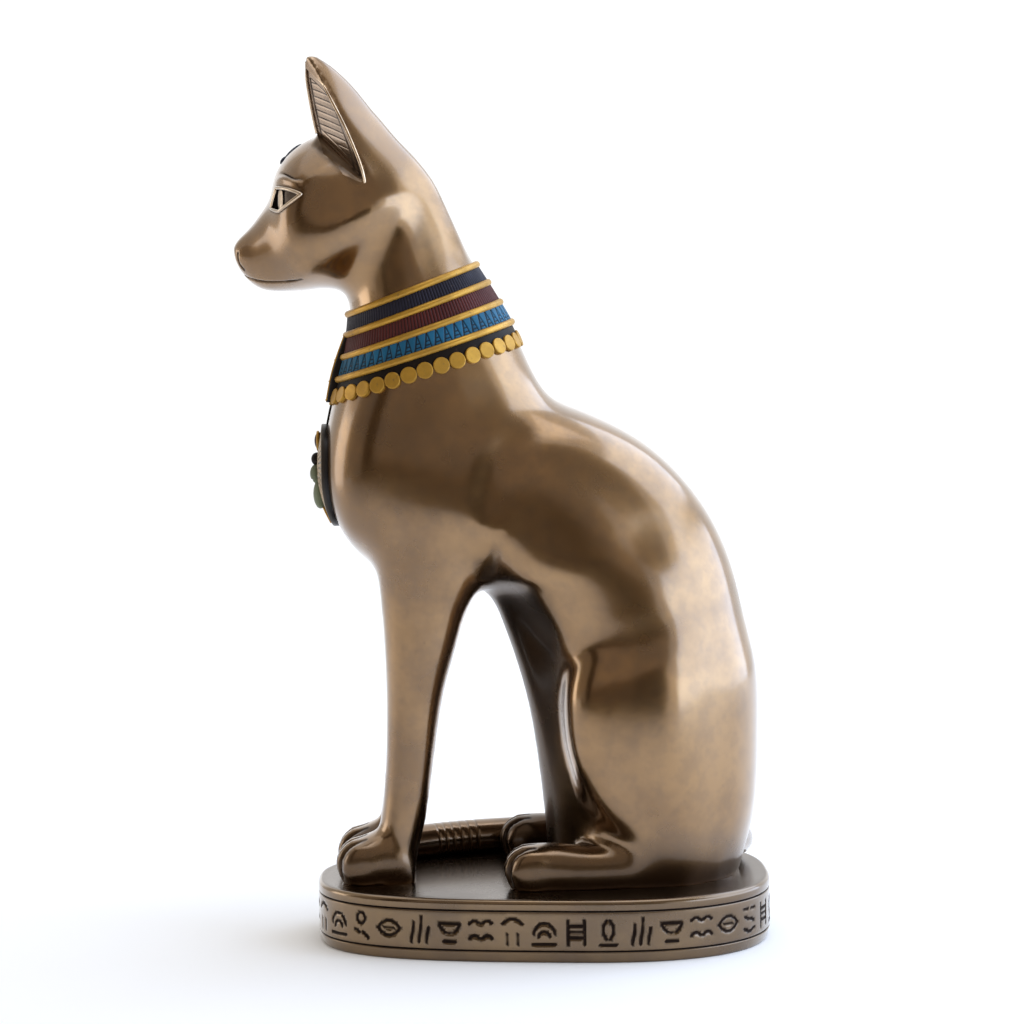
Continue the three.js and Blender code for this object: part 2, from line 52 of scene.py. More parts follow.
# One row is one section: x, z of its first point, x, z of its last point, middle y, half width,
# front share, squareness. Heights are over the plinth top, in millimetres.
TRUNK = [
    (-64.0, 228.0, -41.0, 242.0, 0, 17.0),
    (-61.5, 214.0, -34.5, 230.5, 0, 21.0),
    (-62.0, 201.5, -27.8, 218.2, 0, 22.0),
    (-61.7, 190.4, -21.3, 205.8, 0, 22.3),
    (-62.3, 182.2, -16.8, 198.4, 0, 23.1),
    (-64.0, 174.2, -12.6, 191.4, 0, 24.4),
    (-66.4, 165.4, -8.2, 183.4, 0, 26.0),
    (-69.2, 153.9, -3.3, 172.0, 0, 27.6, 1, 2.3),
    (-71.0, 142.9, 3.2, 160.7, 0, 28.8, 1, 2.6),
    (-71.0, 132.4, 12.5, 155.5, 0, 30.0, 1, 2.9),
    (-68.3, 122.4, 25.5, 149.6, 0, 31.2, 1, 3.2),
    (-63.0, 112.4, 38.3, 141.2, 0, 32.2, 1, 3.3),
    (-53.5, 103.4, 49.4, 129.8, 0, 33.0, 1, 3.0),
    (-38.0, 97.0, 57.9, 117.0, 0, 33.8, 1, 2.5),
    (-20.6, 96.5, 64.2, 101.5, 0, 34.5, 1, 2.2),
    (-12.3, 83.4, 68.2, 84.9, 0, 35.0, 0.97),
    (-7.3, 68.0, 72.0, 68.0, 0, 35.0, 0.93),
    (-3.9, 53.4, 72.6, 52.4, 0, 35.0, 0.9),
    (-1.5, 37.0, 72.2, 36.5, 0, 35.0, 0.86),
    (0.2, 21.0, 70.8, 20.5, 0, 34.5, 0.82),
    (1.2, 7.0, 67.5, 7.0, 0, 32.5, 0.8),
    (2.0, -5.0, 64.0, -5.0, 0, 30.0, 0.8),
]
HAUNCH = [
    (18.0, 114.0, 44.0, 120.0, 14.0, 11.0),
    (9.5, 104.0, 50.0, 110.0, 16.0, 16.5),
    (8.0, 92.0, 54.0, 96.0, 16.5, 18.0, 1, 2.2),
    (9.3, 82.5, 56.0, 85.0, 17.2, 18.8, 1, 2.4),
    (7.2, 72.0, 57.0, 73.0, 18.0, 19.4, 1, 2.9),
    (5.9, 62.0, 57.0, 62.0, 18.5, 20.1, 1, 3.1),
    (6.3, 50.0, 57.0, 50.0, 18.5, 20.6, 1, 3.1),
    (8.4, 39.0, 57.0, 39.0, 18.5, 20.4, 1, 3.0),
    (12.2, 28.0, 57.0, 29.0, 18.5, 19.4, 1, 2.7),
    (17.5, 18.5, 57.0, 19.0, 18.0, 18.6, 1, 2.3),
    (24.0, 8.0, 56.0, 8.0, 17.0, 17.0, 1, 2.2),
    (28.0, -4.0, 54.0, -4.0, 16.0, 14.5, 1, 2.2),
]
LEG = [
    (-60.0, 132.0, -14.0, 126.0, 15.0, 14.5),
    (-57.6, 117.0, -15.5, 111.0, 14.8, 14.8),
    (-54.3, 103.1, -20.0, 98.5, 13.4, 13.6),
    (-52.9, 90.0, -25.0, 89.0, 12.2, 11.9),
    (-52.3, 79.1, -28.2, 78.7, 11.8, 11.3),
    (-51.9, 63.1, -32.7, 62.7, 11.0, 10.0),
    (-52.2, 48.0, -35.4, 47.0, 10.5, 9.0),
    (-53.0, 34.0, -37.4, 33.0, 10.2, 8.4),
    (-54.5, 21.5, -39.4, 20.5, 10.1, 8.3),
    (-55.8, 10.0, -42.0, 10.0, 10.1, 8.3),
    (-55.8, -3.0, -44.0, -3.0, 10.1, 8.0),
]
PAW = [
    (-67.0, 11.0, -67.0, -3.0, 10.4, 6.5, 1, 2.6),
    (-62.0, 14.2, -62.0, -3.0, 10.4, 9.0, 1, 2.6),
    (-55.0, 17.0, -55.0, -3.0, 10.4, 9.4, 1, 2.6),
    (-48.0, 15.0, -48.0, -3.0, 10.4, 8.8, 1, 2.6),
    (-43.0, 9.0, -43.0, -3.0, 10.3, 7.0, 1, 2.6),
]
FOOT = [
    (-11.5, 10.5, -11.5, -3.0, 27.0, 6.0, 1, 2.6),
    (-6.0, 14.0, -6.0, -3.0, 27.0, 7.6, 1, 2.6),
    (3.0, 14.6, 3.0, -3.0, 27.0, 7.9, 1, 2.6),
    (14.0, 13.4, 14.0, -3.0, 26.5, 8.2, 1, 2.6),
    (28.0, 14.0, 28.0, -3.0, 25.0, 8.8, 1, 2.4),
    (44.0, 14.0, 44.0, -2.5, 22.0, 9.5, 1, 2.2),
    (58.0, 13.0, 58.0, -1.0, 16.0, 9.5, 1, 2.2),
]
# Toes of a paw and of a foot: x of the longest tips, middle y, height, half width.
TOES = [(-70.2, 10.4, 15.0, 9.2), (-14.9, 27.0, 14.6, 7.8)]
TOE_SPREAD = 0.53  # from one toe to the next, as a share of the half width


def through(points):
    """Control points of the cubic B-spline that runs through the given points or rows."""
    wanted = np.array(points, float)
    control = wanted.copy()
    for _ in range(8):
        ends = np.vstack([2 * control[0] - control[1], control, 2 * control[-1] - control[-2]])
        control += wanted - (ends[:-2] + 4 * ends[1:-1] + ends[2:]) / 6
    return control


def along(control, place):
    """The point or row at a place on the spline, counted in the points that it runs through."""
    ends = np.vstack([2 * control[0] - control[1], control, 2 * control[-1] - control[-2]])
    i = min(int(place), len(control) - 2)
    f = place - i
    weights = np.array([(1 - f) ** 3, 3 * f**3 - 6 * f**2 + 4,
                        -3 * f**3 + 3 * f**2 + 3 * f + 1, f**3])
    return weights @ ends[i:i + 4] / 6


def spline_rows(rows, side=1):
    """The spline of a form's sections, on either side of the cat."""
    filled = [list(row) + [1.0, 2.0][len(row) - 6:] for row in rows]
    return through([row[:4] + [side * row[4]] + row[5:] for row in filled])


def power(value, exponent):
    """A power that keeps the sign of its value."""
    return math.copysign(abs(value) ** exponent, value)


def section_point(row, turn, proud=0.0):
    """A point of a section, or one so far in front of it: turn 0 at its first point, pi at its
    last, +Y between them. Its last half is the rounder one."""
    x0, z0, x1, z1, y, half, front_share, squareness = row
    if math.cos(turn) < 0:
        squareness = 2 + 0.4 * (squareness - 2)
    exponent = 2 / squareness
    share = 0.5 - 0.5 * power(math.cos(turn), exponent)
    near = min(1.0, 2 * share)
    narrowing = front_share + (1 - front_share) * near**2 * (3 - 2 * near)
    reach = share + proud / math.hypot(x1 - x0, z1 - z0) * (2 * share - 1)
    side = y + power(math.sin(turn), exponent) * (half * narrowing + proud)
    return Vector((x0 + (x1 - x0) * reach, side, PLINTH_TOP + z0 + (z1 - z0) * reach)) * MM


def drum(around, steps):
    """A closed drum of unit radius: turn round Z, and one ring of corners per whole height."""
    bm = bmesh.new()
    bmesh.ops.create_cone(bm, cap_ends=True, segments=around, radius1=1, radius2=1, depth=steps)
    uprights = [e for e in bm.edges if abs(e.verts[0].co.z - e.verts[1].co.z) > 0.5]
    if steps > 1:
        bmesh.ops.subdivide_edges(bm, edges=uprights, cuts=steps - 1)
    bmesh.ops.translate(bm, verts=bm.verts, vec=(0, 0, steps / 2))
    return bm


def outwards(bm):
    """The form with its faces turned outwards."""
    bmesh.ops.recalc_face_normals(bm, faces=bm.faces)
    return bm


def skinned(control, around, steps, first=0.0, last=None):
    """A closed form over the sections between two places of a spline."""
    last = len(control) - 1 if last is None else last
    bm = drum(around, steps)
    sections = [along(control, first + (last - first) * k / steps) for k in range(steps + 1)]
    for v in bm.verts:
        v.co = section_point(sections[round(v.co.z)], math.atan2(v.co.y, v.co.x))
    return outwards(bm)


def ball(middle, radii):
    """A rounded form about a middle, in millimetres."""
    bm = bmesh.new()
    bmesh.ops.create_uvsphere(bm, u_segments=24, v_segments=16, radius=1)
    bmesh.ops.scale(bm, verts=bm.verts, vec=Vector(radii) * MM)
    bmesh.ops.translate(bm, verts=bm.verts, vec=Vector(middle) * MM)
    return bm


def toes(tip_x, middle_y, height, half):
    """Four toes across a paw, the outer two a little shorter and set back."""
    spread = half * TOE_SPREAD
    forms = []
    for place in (-1.5, -0.5, 0.5, 1.5):
        outer = abs(place) > 1
        length = 7.5 if outer else 9.0
        set_back = 2.6 if outer else 0.0
        middle = (tip_x + set_back + length, middle_y + place * spread, PLINTH_TOP + height * 0.42)
        forms.append(ball(middle, (length, spread * 0.62, height * (0.53 if outer else 0.6))))
    return forms


def gathered(forms):
    """One mesh of all the forms."""
    whole = bmesh.new()
    for form in forms:
        mesh = bpy.data.meshes.new("form")
        form.to_mesh(mesh)
        whole.from_mesh(mesh)
        bpy.data.meshes.remove(mesh)
    mesh = bpy.data.meshes.new("forms")
    whole.to_mesh(mesh)
    whole.free()
    return mesh


def form_of(mesh):
    """A copy of a mesh that can be worked on."""
    bm = bmesh.new()
    bm.from_mesh(mesh)
    return bm


def placed(name, data):
    """An object of its own in the scene."""
    obj = bpy.data.objects.new(name, data)
    bpy.context.scene.collection.objects.link(obj)
    return obj


def evaluated(obj):
    """The mesh that an object makes with its settings and modifiers; the object itself goes."""
    bpy.context.view_layer.update()
    depsgraph = bpy.context.evaluated_depsgraph_get()
    mesh = bpy.data.meshes.new_from_object(obj.evaluated_get(depsgraph))
    bpy.data.objects.remove(obj)
    return mesh


def finished(mesh, kind, weight=None, **settings):
    """The mesh with one modifier applied, by the weight of each corner where that is given."""
    obj = placed("work", mesh)
    modifier = obj.modifiers.new("work", kind)
    for key, value in settings.items():
        setattr(modifier, key, value)
    if weight is not None:
        group = obj.vertex_groups.new(name="weight")
        steps = np.round(np.clip(weight, 0, 1) * 32).astype(int)
        for step in range(1, 33):
            group.add(np.nonzero(steps == step)[0].tolist(), step / 32, "REPLACE")
        modifier.vertex_group = "weight"
    return evaluated(obj)


def melted(forms, grain):
    """The forms run together into one even skin."""
    return finished(gathered(forms), "REMESH", mode="VOXEL", voxel_size=grain * MM)


def eased(mesh, passes, weight=None):
    """The mesh smoothed so many times, all over or by a weight."""
    return finished(mesh, "SMOOTH", weight, factor=0.5, iterations=passes)


def corners(mesh):
    """The places of a mesh's corners, one to a row."""
    co = np.empty(3 * len(mesh.vertices))
    mesh.vertices.foreach_get("co", co)
    return co.reshape(-1, 3)


def smoothstep(low, high, value):
    """Rises smoothly from 0 at the first place to 1 at the second, which may be the lower one."""
    t = np.clip((value - low) / (high - low), 0, 1)
    return t * t * (3 - 2 * t)


def seam_weight(mesh, groups, reach):
    """How near each corner is to where one group of forms runs into another, 1 at the seam."""
    co = corners(mesh)
    far = reach * MM
    distances = []
    for forms in groups:
        nearest = np.full(len(co), 1.0)
        for tree in [BVHTree.FromBMesh(form) for form in forms]:
            for i, point in enumerate(co):
                distance = tree.find_nearest(point, far)[3]
                if distance is not None and distance < nearest[i]:
                    nearest[i] = distance
        distances.append(nearest)
    weight = np.zeros(len(co))
    for k, first in enumerate(distances):
        for second in distances[k + 1:]:
            weight = np.maximum(weight, 1 - smoothstep(0, far, np.maximum(first, second)))
    return weight


def touch(mesh):
    """A mesh that lines and rays can land on."""
    bm = form_of(mesh)
    tree = BVHTree.FromBMesh(bm)
    bm.free()
    return tree


def landed(tree, start, direction):
    """Where a line from a place in millimetres first meets the mesh."""
    return tree.ray_cast(Vector(start) * MM, Vector(direction).normalized())[0]


def fine_line(points, step=0.35):
    """Close places on the smooth line through the given ones."""
    control = through(points)
    length = sum((Vector(b) - Vector(a)).length for a, b in zip(points, points[1:]))
    count = max(4, round(length / (step * MM)))
    return np.array([along(control, (len(points) - 1) * k / count) for k in range(count + 1)])


def line_gap(co, line, reach):
    """Which corners lie within reach of a line, how far from it and how far along it."""
    inside = np.all((co > line.min(0) - reach) & (co < line.max(0) + reach), axis=1)
    chosen = np.nonzero(inside)[0]
    gaps = np.linalg.norm(co[chosen][:, None, :] - line[None], axis=2)
    best = gaps.argmin(axis=1)
    gap = gaps[np.arange(len(chosen)), best]
    kept = gap < reach
    return chosen[kept], gap[kept], best[kept] / (len(line) - 1)


def pressed(mesh, lines, cuts=0):
    """Lines pressed into a skin, each as places, half width, depth (raised where negative) and
    the share of its depth at its two ends. Cuts make the skin finer along them."""
    bm = form_of(mesh)
    for _ in range(cuts):
        bm.verts.ensure_lookup_table()
        co = np.array([v.co for v in bm.verts])
        near = set()
        for line, width, _, _ in lines:
            near.update(line_gap(co, line, 1.6 * width * MM)[0].tolist())
        edges = [e for e in bm.edges if e.verts[0].index in near and e.verts[1].index in near]
        bmesh.ops.subdivide_edges(bm, edges=edges, cuts=1, use_grid_fill=True, smooth=0.8)
        bm.verts.index_update()
    bm.normal_update()
    result = bpy.data.meshes.new("pressed")
    bm.to_mesh(result)
    co = corners(result)
    normals = np.array([v.normal for v in bm.verts])
    bm.free()
    for line, width, depth, (first, last) in lines:
        chosen, gap, place = line_gap(co, line, width * MM)
        fade = 1 - smoothstep(0, width * MM, gap)
        taper = np.minimum(first + (1 - first) * smoothstep(0, 0.3, place),
                           last + (1 - last) * smoothstep(1, 0.7, place))
        co[chosen] -= normals[chosen] * (depth * MM * fade * taper)[:, None]
    result.vertices.foreach_set("co", co.ravel())
    result.update()
    return result


# The flank's edge runs from the armpit down to the knee; in front of it the belly is narrow.
FLANK_TOP = (-14.0, 119.0)
FLANK_SLOPE = 0.634
KNEE_X = 12.0
BELLY_NARROWING = 0.36

trunk_line = spline_rows(TRUNK)
trunk = skinned(trunk_line, 96, 120, first=3.9)
for v in trunk.verts:
    height = v.co.z / MM - PLINTH_TOP
    ahead = min(KNEE_X, FLANK_TOP[0] + FLANK_SLOPE * (FLANK_TOP[1] - height)) - v.co.x / MM
    v.co.y *= 1 - BELLY_NARROWING * float(smoothstep(-1, 16, ahead) * smoothstep(120, 103, height))
haunches = [skinned(spline_rows(HAUNCH, side), 64, 60) for side in SIDES]
legs = [skinned(spline_rows(LEG, side), 48, 60) for side in SIDES]
feet = [skinned(spline_rows(rows, side), 48, 24) for rows in (PAW, FOOT) for side in SIDES]
toe_forms = [form for side in SIDES for tip_x, middle_y, height, half in TOES
             for form in toes(tip_x, side * middle_y, height, half)]
body_mesh = melted([trunk, *haunches, *legs, *feet, *toe_forms], BODY_GRAIN)

# The limbs melt into the trunk; the edge in front of the thigh stays, below the knee.
joins = seam_weight(body_mesh, [[trunk], haunches, legs], 7.0)
x, y, z = (corners(body_mesh) / MM - (0, 0, PLINTH_TOP)).T
over_foot = smoothstep(16, 28, z)
thigh_edge = smoothstep(-4, 3, x) * smoothstep(34, 20, x) * smoothstep(86, 76, z)
thigh_edge *= smoothstep(26, 31, np.abs(y))
below_knee = smoothstep(14, 9, x) * smoothstep(-8, -2, x) * smoothstep(80, 72, z)
kept = np.maximum(thigh_edge, below_knee * over_foot)
armpit = 1 - smoothstep(4, 11, np.hypot(x + 20.0, z - 98.0))
belly = smoothstep(3, -1, x) * smoothstep(-24, -18, x) * smoothstep(110, 98, z)
body_mesh = eased(body_mesh, 160, joins * (1 - 0.97 * kept) * (1 - 0.5 * armpit))
body_mesh = eased(body_mesh, 80, belly * over_foot * (1 - 0.5 * armpit))
body_mesh = eased(body_mesh, 8)

# Soft valleys lie round the shoulder blade and over the thigh; the armpit is a crease.
body_skin = touch(body_mesh)
SHOULDER_VALLEY = [(4.0, 150.0), (-7.0, 147.0), (-14.0, 139.0), (-17.0, 127.0), (-17.0, 114.0)]
THIGH_VALLEY = [(12.0, 81.0), (22.0, 79.0), (34.0, 82.0), (46.0, 88.0)]
ARMPIT = [(-13.6, 116.0), (-15.4, 110.0), (-17.2, 105.0), (-18.6, 101.5)]


def on_side(tree, points, side):
    """A line on one side of the cat, through points given as x and height over the plinth."""
    return [landed(tree, (x, side * 70, PLINTH_TOP + z), (0, -side, 0)) for x, z in points]


def side_lines(tree, points, step=0.35):
    """The fine line through the given points on either side of the cat."""
    return [fine_line(on_side(tree, points, side), step) for side in SIDES]


def toe_lines(tree, tip_x, middle_y, half):
    """The lines between four toes, from the top of the paw over its front."""
    lines = []
    for place in (-1, 0, 1):
        start = (tip_x + 11, middle_y + place * half * TOE_SPREAD, PLINTH_TOP + 2)
        turns = [math.radians(d) for d in (88, 66, 44, 22, 2)]
        lines.append([landed(tree, start, (-math.cos(t), 0, math.sin(t))) for t in turns])
    return lines


soft_lines = [(line, 9.0, 1.1, (0.2, 0.6)) for line in side_lines(body_skin, SHOULDER_VALLEY, 1.0)]
soft_lines += [(line, 11.0, 0.65, (0.6, 0.0)) for line in side_lines(body_skin, THIGH_VALLEY, 1.0)]
body_mesh = eased(pressed(body_mesh, soft_lines), 12)
body_skin = touch(body_mesh)
armpits = [(line, 3.0, 0.4, (0.3, 0.7)) for line in side_lines(body_skin, ARMPIT)]
grooves = [(fine_line(points), 1.1, 1.0, (0.1, 1.0))
           for side in SIDES for tip_x, middle_y, _, half in TOES
           for points in toe_lines(body_skin, tip_x, side * middle_y, half)]
body_mesh = pressed(body_mesh, armpits + grooves, cuts=1)


def note(mesh, layer, values):
    """Writes a value on each corner of a mesh, for its material to read."""
    data = mesh.attributes.new(layer, "FLOAT", "POINT").data
    data.foreach_set("value", np.array(values, np.float32))


def worn_and_shaded(mesh, grooves=(), shade_at=None, rubbing=1.0):
    """Notes on each corner how darkly its hollow is washed, partly with painted shade, how brightly its
    edge is rubbed, and how much painted shade it has. A groove is a line, its half width, the
    strength of its darkening and the share of that at its start."""
    co = corners(mesh)
    ends = np.empty(2 * len(mesh.edges), int)
    mesh.edges.foreach_get("vertices", ends)
    a, b = ends.reshape(-1, 2).T

    def summed(at_a, at_b):
        """The sum at each corner of what its edges bring to their ends."""
        return np.bincount(a, at_a, len(co)) + np.bincount(b, at_b, len(co))

    count = np.maximum(summed(np.ones(len(a)), np.ones(len(a))), 1)

    def about(values):
        """The mean of a value over each corner's neighbours."""
        return summed(values[b], values[a]) / count

    normals = np.empty(3 * len(co))
    mesh.vertex_normals.foreach_get("vector", normals)
    square = ((co[a] - co[b]) ** 2).sum(1)
    spacing = summed(square, square) / count
    mean = np.stack([about(co[:, k].copy()) for k in range(3)], axis=1)
    bend = ((mean - co) * normals.reshape(-1, 3)).sum(1) / np.maximum(spacing, (0.35 * MM) ** 2)
    for _ in range(5):
        bend = 0.4 * bend + 0.6 * about(bend)
    # Hollows darken by how far they bend in: dark patina, partly painted shade.
    wash_and_shade = smoothstep(25, 160, bend)
    for line, width, strength, first in grooves:
        chosen, gap, place = line_gap(co, line, width * MM)
        drawn = strength * (first + (1 - first) * smoothstep(0, 0.8, place))
        drawn = drawn * (1 - smoothstep(0.3 * width * MM, width * MM, gap))
        wash_and_shade[chosen] = np.maximum(wash_and_shade[chosen], drawn)
    note(mesh, "wash_and_shade", wash_and_shade)
    note(mesh, "rub_and_sheen", rubbing * smoothstep(90, 320, -bend))
    note(mesh, "shade", np.zeros(len(co)) if shade_at is None else shade_at(co / MM))
    return mesh


def smooth(mesh):
    """The mesh with its faces shaded as one skin."""
    mesh.polygons.foreach_set("use_smooth", [True] * len(mesh.polygons))
    return mesh


def edged(mesh, degrees):
    """The mesh with the edges that bend more than this kept sharp."""
    mesh.set_sharp_from_angle(angle=math.radians(degrees))
    return mesh


def shown(name, mesh, *materials):
    """A finished piece, with its place in its mesh, that moves with the figure."""
    obj = placed(name, mesh)
    for material in materials:
        mesh.materials.append(material)
    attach(obj, "root")
    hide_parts(FIGURE)


def node(tree, kind, inputs=(), **settings):
    """A shader node with its settings, its inputs being values or other nodes' outputs."""
    made = tree.nodes.new(kind)
    for key, value in settings.items():
        setattr(made, key, value)
    for key, value in dict(inputs).items():
        if isinstance(value, bpy.types.NodeSocket):
            tree.links.new(value, made.inputs[key])
        else:
            made.inputs[key].default_value = value
    return made


def mixed(tree, factor, first, second):
    """The colour between two others."""
    mix = node(tree, "ShaderNodeMix", data_type="RGBA")
    for socket, value in ((mix.inputs[0], factor), (mix.inputs[6], first), (mix.inputs[7], second)):
        if isinstance(value, bpy.types.NodeSocket):
            tree.links.new(value, socket)
        else:
            socket.default_value = value
    return mix.outputs[2]


def shade(*colour):
    """A colour as a shader takes it."""
    return (*colour, 1)


def ranged(tree, value, low, high, first=0.0, last=1.0):
    """A value eased from one range into another."""
    ends = {"From Min": low, "From Max": high, "To Min": first, "To Max": last}
    return node(tree, "ShaderNodeMapRange", {"Value": value, **ends},
                interpolation_type="SMOOTHSTEP").outputs["Result"]


def times(tree, first, second, added=0.0):
    """The product of two values, with a third added to it."""
    return node(tree, "ShaderNodeMath", {0: first, 1: second, 2: added},
                operation="MULTIPLY_ADD").outputs[0]


def new_group(name, inputs, outputs):
    """An empty node group with named sockets; inputs are (name, kind, value)."""
    tree = bpy.data.node_groups.new(name, "ShaderNodeTree")
    for label, kind, value in inputs:
        tree.interface.new_socket(label, in_out="INPUT", socket_type=kind).default_value = value
    for label, kind in outputs:
        tree.interface.new_socket(label, in_out="OUTPUT", socket_type=kind)
    return tree, tree.nodes.new("NodeGroupInput").outputs, tree.nodes.new("NodeGroupOutput").inputs


def mottle(tree, scale, detail):
    """Cloudy noise fixed to the piece, from 0 to 1."""
    place = node(tree, "ShaderNodeTexCoord").outputs["Object"]
    return node(tree, "ShaderNodeTexNoise", {"Vector": place, "Scale": scale, "Detail": detail,
                                             "Roughness": 0.6}).outputs["Fac"]


LIGHT_BRONZE = (0.315, 0.180, 0.070)
DARK_BRONZE = (0.195, 0.106, 0.040)
GRIME = shade(0.15, 0.09, 0.048)
PIT = shade(0.05, 0.03, 0.02)
RUBBED_METAL_AND_SHEEN = shade(0.74, 0.55, 0.36)
# The colour of painted shade, laid where a piece notes shade.
PAINTED_SHADE = shade(0.055, 0.034, 0.021)
BLACK_WASH_AND_SHADE = shade(0.016, 0.009, 0.006)
BRONZE_GRAIN = 0.05  # height of the casting's fine unevenness


def aged_bronze():
    """Bronze with a brown patina: dark and dull in hollows and painted shade, pale at rubbed edges and
    painted sheen.
    """
    tree, given, result = new_group(
        "aged_bronze",
        [("Light Tone", "NodeSocketColor", shade(*LIGHT_BRONZE)),
         ("Dark Tone", "NodeSocketColor", shade(*DARK_BRONZE)),
         ("Wash_and_shade", "NodeSocketFloat", 0.0), ("Rub_and_sheen", "NodeSocketFloat", 0.0),
         ("Shade", "NodeSocketFloat", 0.0)],
        [("Color", "NodeSocketColor"), ("Roughness", "NodeSocketFloat"),
         ("Height", "NodeSocketFloat"), ("Metal", "NodeSocketFloat"), ("Coat", "NodeSocketFloat")])
    clouds = ranged(tree, mottle(tree, 22, 5), 0.36, 0.66)
    grime = ranged(tree, mottle(tree, 160, 6), 0.35, 0.7)
    pits = ranged(tree, mottle(tree, 1100, 2), 0.70, 0.78)
    washed = times(tree, given["Wash_and_shade"], ranged(tree, grime, 0, 1, 0.75, 1.0))
    # Rubbed edges go pale; on the irises this paleness is a painted sheen.
    rubbed = times(tree, given["Rub_and_sheen"], ranged(tree, grime, 0, 1, 0.9, 0.35))
    tone = mixed(tree, clouds, given["Light Tone"], given["Dark Tone"])
    tone = mixed(tree, ranged(tree, grime, 0, 1, 0, 0.32), tone, GRIME)
    tone = mixed(tree, ranged(tree, pits, 0, 1, 0, 0.55), tone, PIT)
    tone = mixed(tree, rubbed, tone, RUBBED_METAL_AND_SHEEN)
    # Painted shade: the bronze goes dark where the Shade layer is set.
    tone = mixed(tree, given["Shade"], tone, PAINTED_SHADE)
    # Hollows, cut lines and creases go near black here: patina, ink and painted shade.
    tree.links.new(mixed(tree, washed, tone, BLACK_WASH_AND_SHADE), result["Color"])
    tree.links.new(ranged(tree, washed, 0.3, 1, 1.0, 0.3), result["Metal"])
    unwashed = ranged(tree, washed, 0.25, 0.85, 1.0, 0.0)
    bare = ranged(tree, given["Shade"], 0.2, 0.9, 1.0, 0.3)
    tree.links.new(times(tree, unwashed, bare), result["Coat"])
    rough = times(tree, given["Shade"], 0.07, ranged(tree, clouds, 0, 1, 0.20, 0.28))
    tree.links.new(times(tree, washed, 0.28, rough), result["Roughness"])
    tree.links.new(mottle(tree, 70, 3), result["Height"])
    return tree


def new_material(name):
    """A material and its shader's sockets."""
    material = bpy.data.materials.new(name)
    material.use_nodes = True
    return material, material.node_tree.nodes["Principled BSDF"].inputs


def covered(name, group, layers, grain):
    """A material whose surface a node group makes from the layers noted on the corners, with a
    grain of a height in millimetres; also its group node and its shader's sockets."""
    material, surface = new_material(name)
    tree = material.node_tree
    finish = node(tree, "ShaderNodeGroup", node_tree=group)
    for layer in layers:
        noted = node(tree, "ShaderNodeAttribute", attribute_name=layer)
        tree.links.new(noted.outputs["Fac"], finish.inputs[layer.capitalize()])
    relief = node(tree, "ShaderNodeBump", {"Height": finish.outputs["Height"], "Strength": 1.0,
                                           "Distance": grain * MM})
    tree.links.new(finish.outputs["Color"], surface["Base Color"])
    tree.links.new(finish.outputs["Roughness"], surface["Roughness"])
    tree.links.new(relief.outputs["Normal"], surface["Normal"])
    return material, finish, surface


bronze_group = aged_bronze()


def bronze(name, light=LIGHT_BRONZE, dark=DARK_BRONZE):
    """A bronze between two tones that reads what a piece's corners note of its wear."""
    material, finish, surface = covered(name, bronze_group, ("wash_and_shade", "rub_and_sheen", "shade"), BRONZE_GRAIN)
    finish.inputs["Light Tone"].default_value = shade(*light)
    finish.inputs["Dark Tone"].default_value = shade(*dark)
    material.node_tree.links.new(finish.outputs["Metal"], surface["Metallic"])
    material.node_tree.links.new(finish.outputs["Coat"], surface["Coat Weight"])
    surface["Specular IOR Level"].default_value = 0.08
    surface["Coat Roughness"].default_value = 0.14
    surface["Coat IOR"].default_value = 1.6
    return material


cast_bronze = bronze("cast_bronze")


def body_shade(at):
    """Painted shade under the belly and between the legs; the figure also darkens towards its bottom,
    less so just at the plinth.
    """
    x, side, height = at[:, 0], np.abs(at[:, 1]), at[:, 2] - PLINTH_TOP
    feet_dark = 0.85 * smoothstep(24, 0, height) * (1 - 0.5 * smoothstep(1.2, 0.2, np.abs(height)))
    # Painted shade under the belly and between the hind legs, and on the inner sides of the front legs.
    under = smoothstep(8, 2, x) * smoothstep(-24, -18, x) * smoothstep(34, 24, side)
    inner = smoothstep(-18, -24, x) * smoothstep(10, 4, side)
    return np.maximum(feet_dark, 0.9 * smoothstep(112, 102, height) * np.maximum(under, inner))


body_washes = [(line, 1.3 * width, 0.95, 1.0) for line, width, _, _ in grooves]
# The armpit creases are darkened with painted shade.
body_washes += [(line, width, 0.8, 0.0) for line, width, _, _ in armpits]
shown("cat_body", smooth(worn_and_shaded(body_mesh, body_washes, body_shade)), cast_bronze)

# Tail: it leaves the rump, lies round the right side of the cat and ends beside the front paws,
# with a set of rings cut round it near its tip. It is cast in bronze with the rest.
TAIL = [
    (57.0, -8.0, 9.5), (63.5, 5.0, 8.5), (66.0, 20.0, 6.5), (57.0, 33.5, 5.6), (40.0, 39.5, 5.4),
    (20.0, 40.8, 5.4), (0.0, 39.8, 5.4), (-16.0, 37.6, 5.4), (-31.0, 33.5, 5.3),
    (-43.0, 28.5, 5.1), (-50.0, 24.8, 4.8),
]
TAIL_RADIUS = 5.9
TAIL_STEP = 0.45
TIP_LENGTH = 7
TAIL_RINGS = 6
FIRST_RING = 24.5  # from the tip
RING_PITCH = 3.1
RING_HALF_WIDTH = 0.7
RING_DEPTH = 0.025  # as a share of the radius


def tube(places, radius, closed=False, radii=None, sides=3):
    """A round bar along a line, its radius in millimetres times that of each place."""
    curve = bpy.data.curves.new("bar", "CURVE")
    curve.dimensions = "3D"
    curve.bevel_depth = radius * MM
    curve.bevel_resolution = sides
    curve.use_fill_caps = not closed
    spline = curve.splines.new("POLY")
    spline.points.add(len(places) - 1)
    for k, (point, place) in enumerate(zip(spline.points, places)):
        point.co = (*place, 1)
        if radii is not None:
            point.radius = radii[k]
    spline.use_cyclic_u = closed
    bm = form_of(evaluated(placed("bar", curve)))
    bmesh.ops.remove_doubles(bm, verts=bm.verts, dist=1e-7)
    return outwards(bm)


